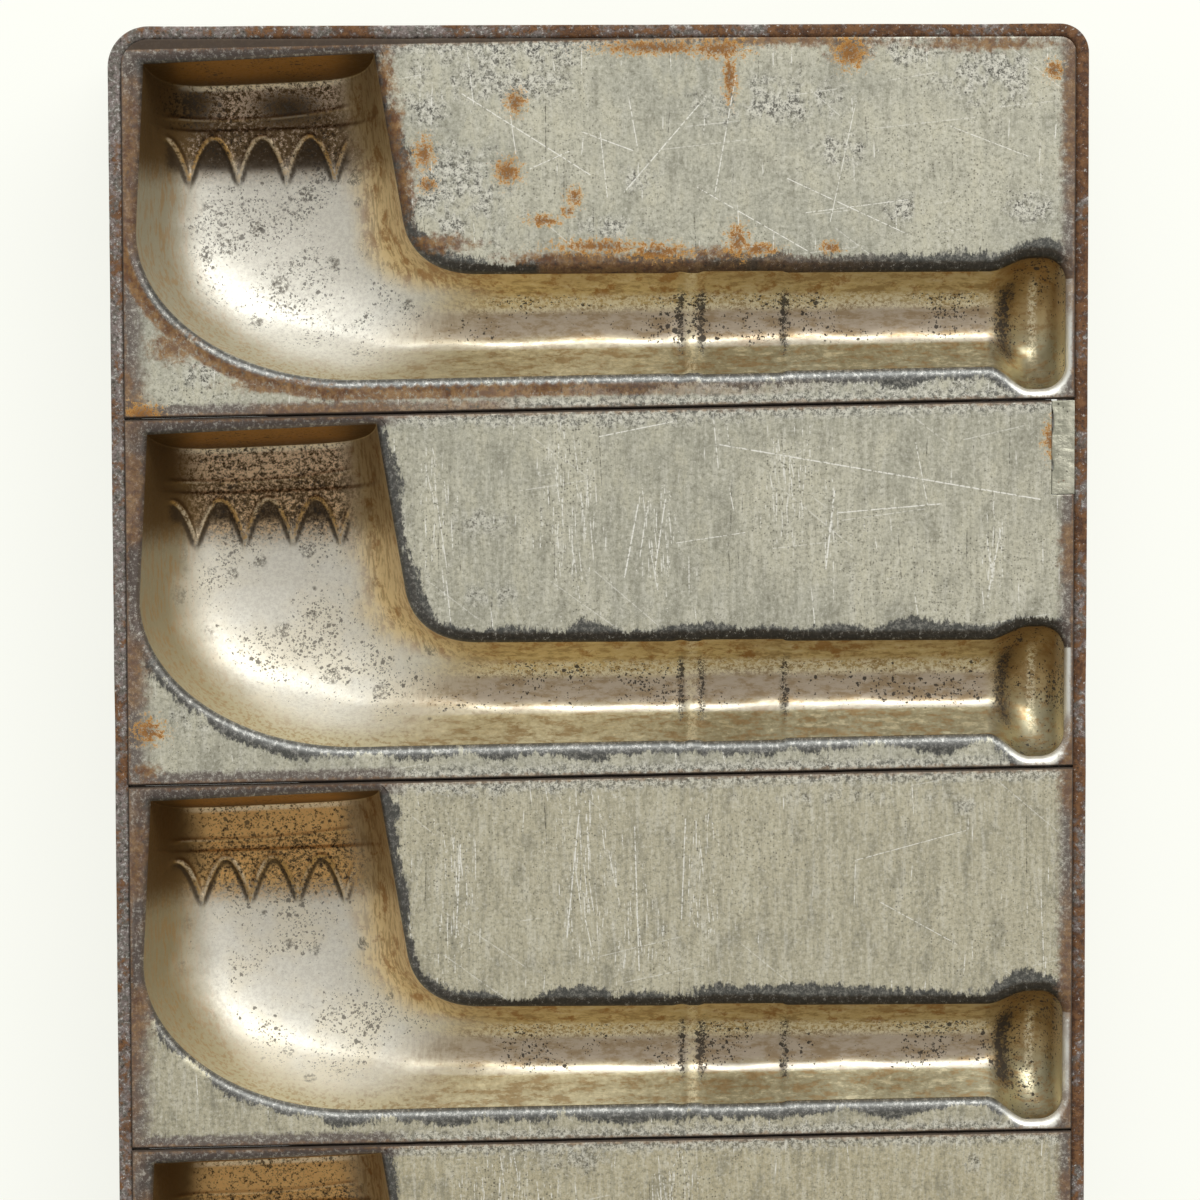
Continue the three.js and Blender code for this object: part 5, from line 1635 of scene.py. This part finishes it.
def make_dull_metal(name, pale, dark, metallic, rough, rust_share):
    """A cast or hammered metal: two mottled tones, specks and a share of rust."""
    material, tree, where = new_material(name)
    mottle = between(grain(where, 700.0, 5.0, 0.65), 0.36, 0.66)
    tone = blend(mottle, dark, pale)
    specks = use(PITS, where, 1900.0, 0.22)
    tone = blend(specks * 0.8, tone, SOOT)
    eaten = between(grain(where, 300.0, 4.0, 0.7), 0.66 - rust_share / 2, 0.74 - rust_share / 2)
    tone = blend(eaten, tone, use(RUST, where, 0.3))
    shade(tree, tone, metallic - eaten * 0.5, rough + eaten * 0.2, strength=0.4, depth=0.0002, height=mottle)
    return material


rusted_strip = make_rusted_strip()
hammered_rivet = make_dull_metal(
    "hammered_rivet", STRIP_WORN, STRIP_GREY, metallic=0.6, rough=0.55, rust_share=0.3)
dull_solder = make_dull_metal(
    "dull_solder", SOLDER_GREY, SOLDER_DARK, metallic=0.55, rough=0.55, rust_share=0.05)
wrinkled_solder = make_dull_metal(
    "wrinkled_solder", PATCH_PALE, PATCH_DARK, metallic=0.55, rough=0.50, rust_share=0.08)
print("materials", len(bpy.data.materials))

# %% [markdown]
# Every piece now takes its material, rides on the one rigid body of the mould and stands for its plain
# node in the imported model.

# %% Dress the frame
def dress(piece, node, slot, *materials):
    """Gives a piece its materials, its body and the node that it stands for; the slot is not used."""
    for material in materials:
        piece.data.materials.append(material)
    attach(piece, "root")
    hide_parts(node)


for row, piece in plates.items():
    dress(piece, f"cavity_plate_{row}", "tinplate", worn_tin[row], aged_cavity)
dress(band, "frame_band", "strip_steel", rusted_strip)
dress(splice, "band_splice", "strip_steel", rusted_strip)
for seam, piece in bars.items():
    dress(piece, f"cross_bar_{seam}", "strip_steel", rusted_strip)
for node, piece in rivets.items():
    dress(piece, node, "rivet_steel", hammered_rivet)
for node, piece in solder.items():
    dress(piece, node, "solder", wrinkled_solder if node == "solder_patch" else dull_solder)
print("dressed", len(plates) + len(bars) + len(rivets) + len(solder) + 2, "pieces")

# %% [markdown]
# The mould lies on a plain pale floor. A large soft lamp, like a tall window, stands beyond the upper edge
# and a little to the right. The walls behind the lamp are pale and those behind the camera's back are dimmer,
# and the dim ceiling above the camera is what the level metal mirrors. The floor is lifted to near white for
# the camera and for what mirrors it.

# %% Floor, world and lamp
FLOOR_SIZE = 3.0
FLOOR_PALE = (0.20, 0.202, 0.19, 1)
FLOOR_GLOW = (1.0, 1.01, 0.935, 1)
FLOOR_LIFT = 0.80
CEILING_TONE = (0.42, 0.40, 0.385, 1)
BRIGHT_WALL = (0.86, 0.87, 0.88, 1)
DIM_WALL = (0.40, 0.40, 0.40, 1)
WALL_TURN = (-0.7, 0.7)
CEILING_EDGE = (0.55, 0.97)
WORLD_LEVEL = 1.08
KEY_DISTANCE = 1.6
KEY_TILT = 52
KEY_TURN = 68
KEY_SIZE = (2.0, 0.36)
KEY_POWER = 19.0

reach = FLOOR_SIZE / 2 / MM
floor_points = [(-reach, -reach, 0), (reach, -reach, 0), (reach, reach, 0), (-reach, reach, 0)]
floor = make_piece("floor", floor_points, [(0, 1, 2, 3)], smooth=False)
floor_material = bpy.data.materials.new("pale_floor")
floor_material.use_nodes = True
tree = floor_material.node_tree
shader = tree.nodes["Principled BSDF"]
shader.inputs["Base Color"].default_value = FLOOR_PALE
shader.inputs["Roughness"].default_value = 0.9
shader.inputs["Specular IOR Level"].default_value = 0.1
path = put("ShaderNodeLightPath", tree=tree)
seen = strongest(*[part(path, k) for k in ("Is Camera Ray", "Is Glossy Ray", "Is Transmission Ray")])
shader.inputs["Emission Color"].default_value = FLOOR_GLOW
feed(shader, "Emission Strength", seen * FLOOR_LIFT)
floor.data.materials.append(floor_material)

world = bpy.data.worlds.new("studio")
world.use_nodes = True
tree = world.node_tree
way = put("ShaderNodeTexCoord", tree=tree, out="Generated")
wall = blend(between(axis(way, "Y"), *WALL_TURN), DIM_WALL, BRIGHT_WALL)
feed(tree.nodes["Background"], "Color", blend(between(axis(way, "Z"), *CEILING_EDGE), wall, CEILING_TONE))
tree.nodes["Background"].inputs["Strength"].default_value = WORLD_LEVEL
bpy.context.scene.world = world

tilt, turn = math.radians(KEY_TILT), math.radians(KEY_TURN)
key_way = Vector((math.sin(tilt) * math.cos(turn), math.sin(tilt) * math.sin(turn), math.cos(tilt)))
key_data = bpy.data.lights.new("key_lamp", "AREA")
key_data.shape = "RECTANGLE"
key_data.size, key_data.size_y = KEY_SIZE
key_data.energy = KEY_POWER
key = bpy.data.objects.new("key_lamp", key_data)
key.location = KEY_DISTANCE * key_way
key.rotation_euler = (-key_way).to_track_quat("-Z", "Y").to_euler()
bpy.context.scene.collection.objects.link(key)

view = bpy.context.scene.view_settings
view.view_transform = "Standard"
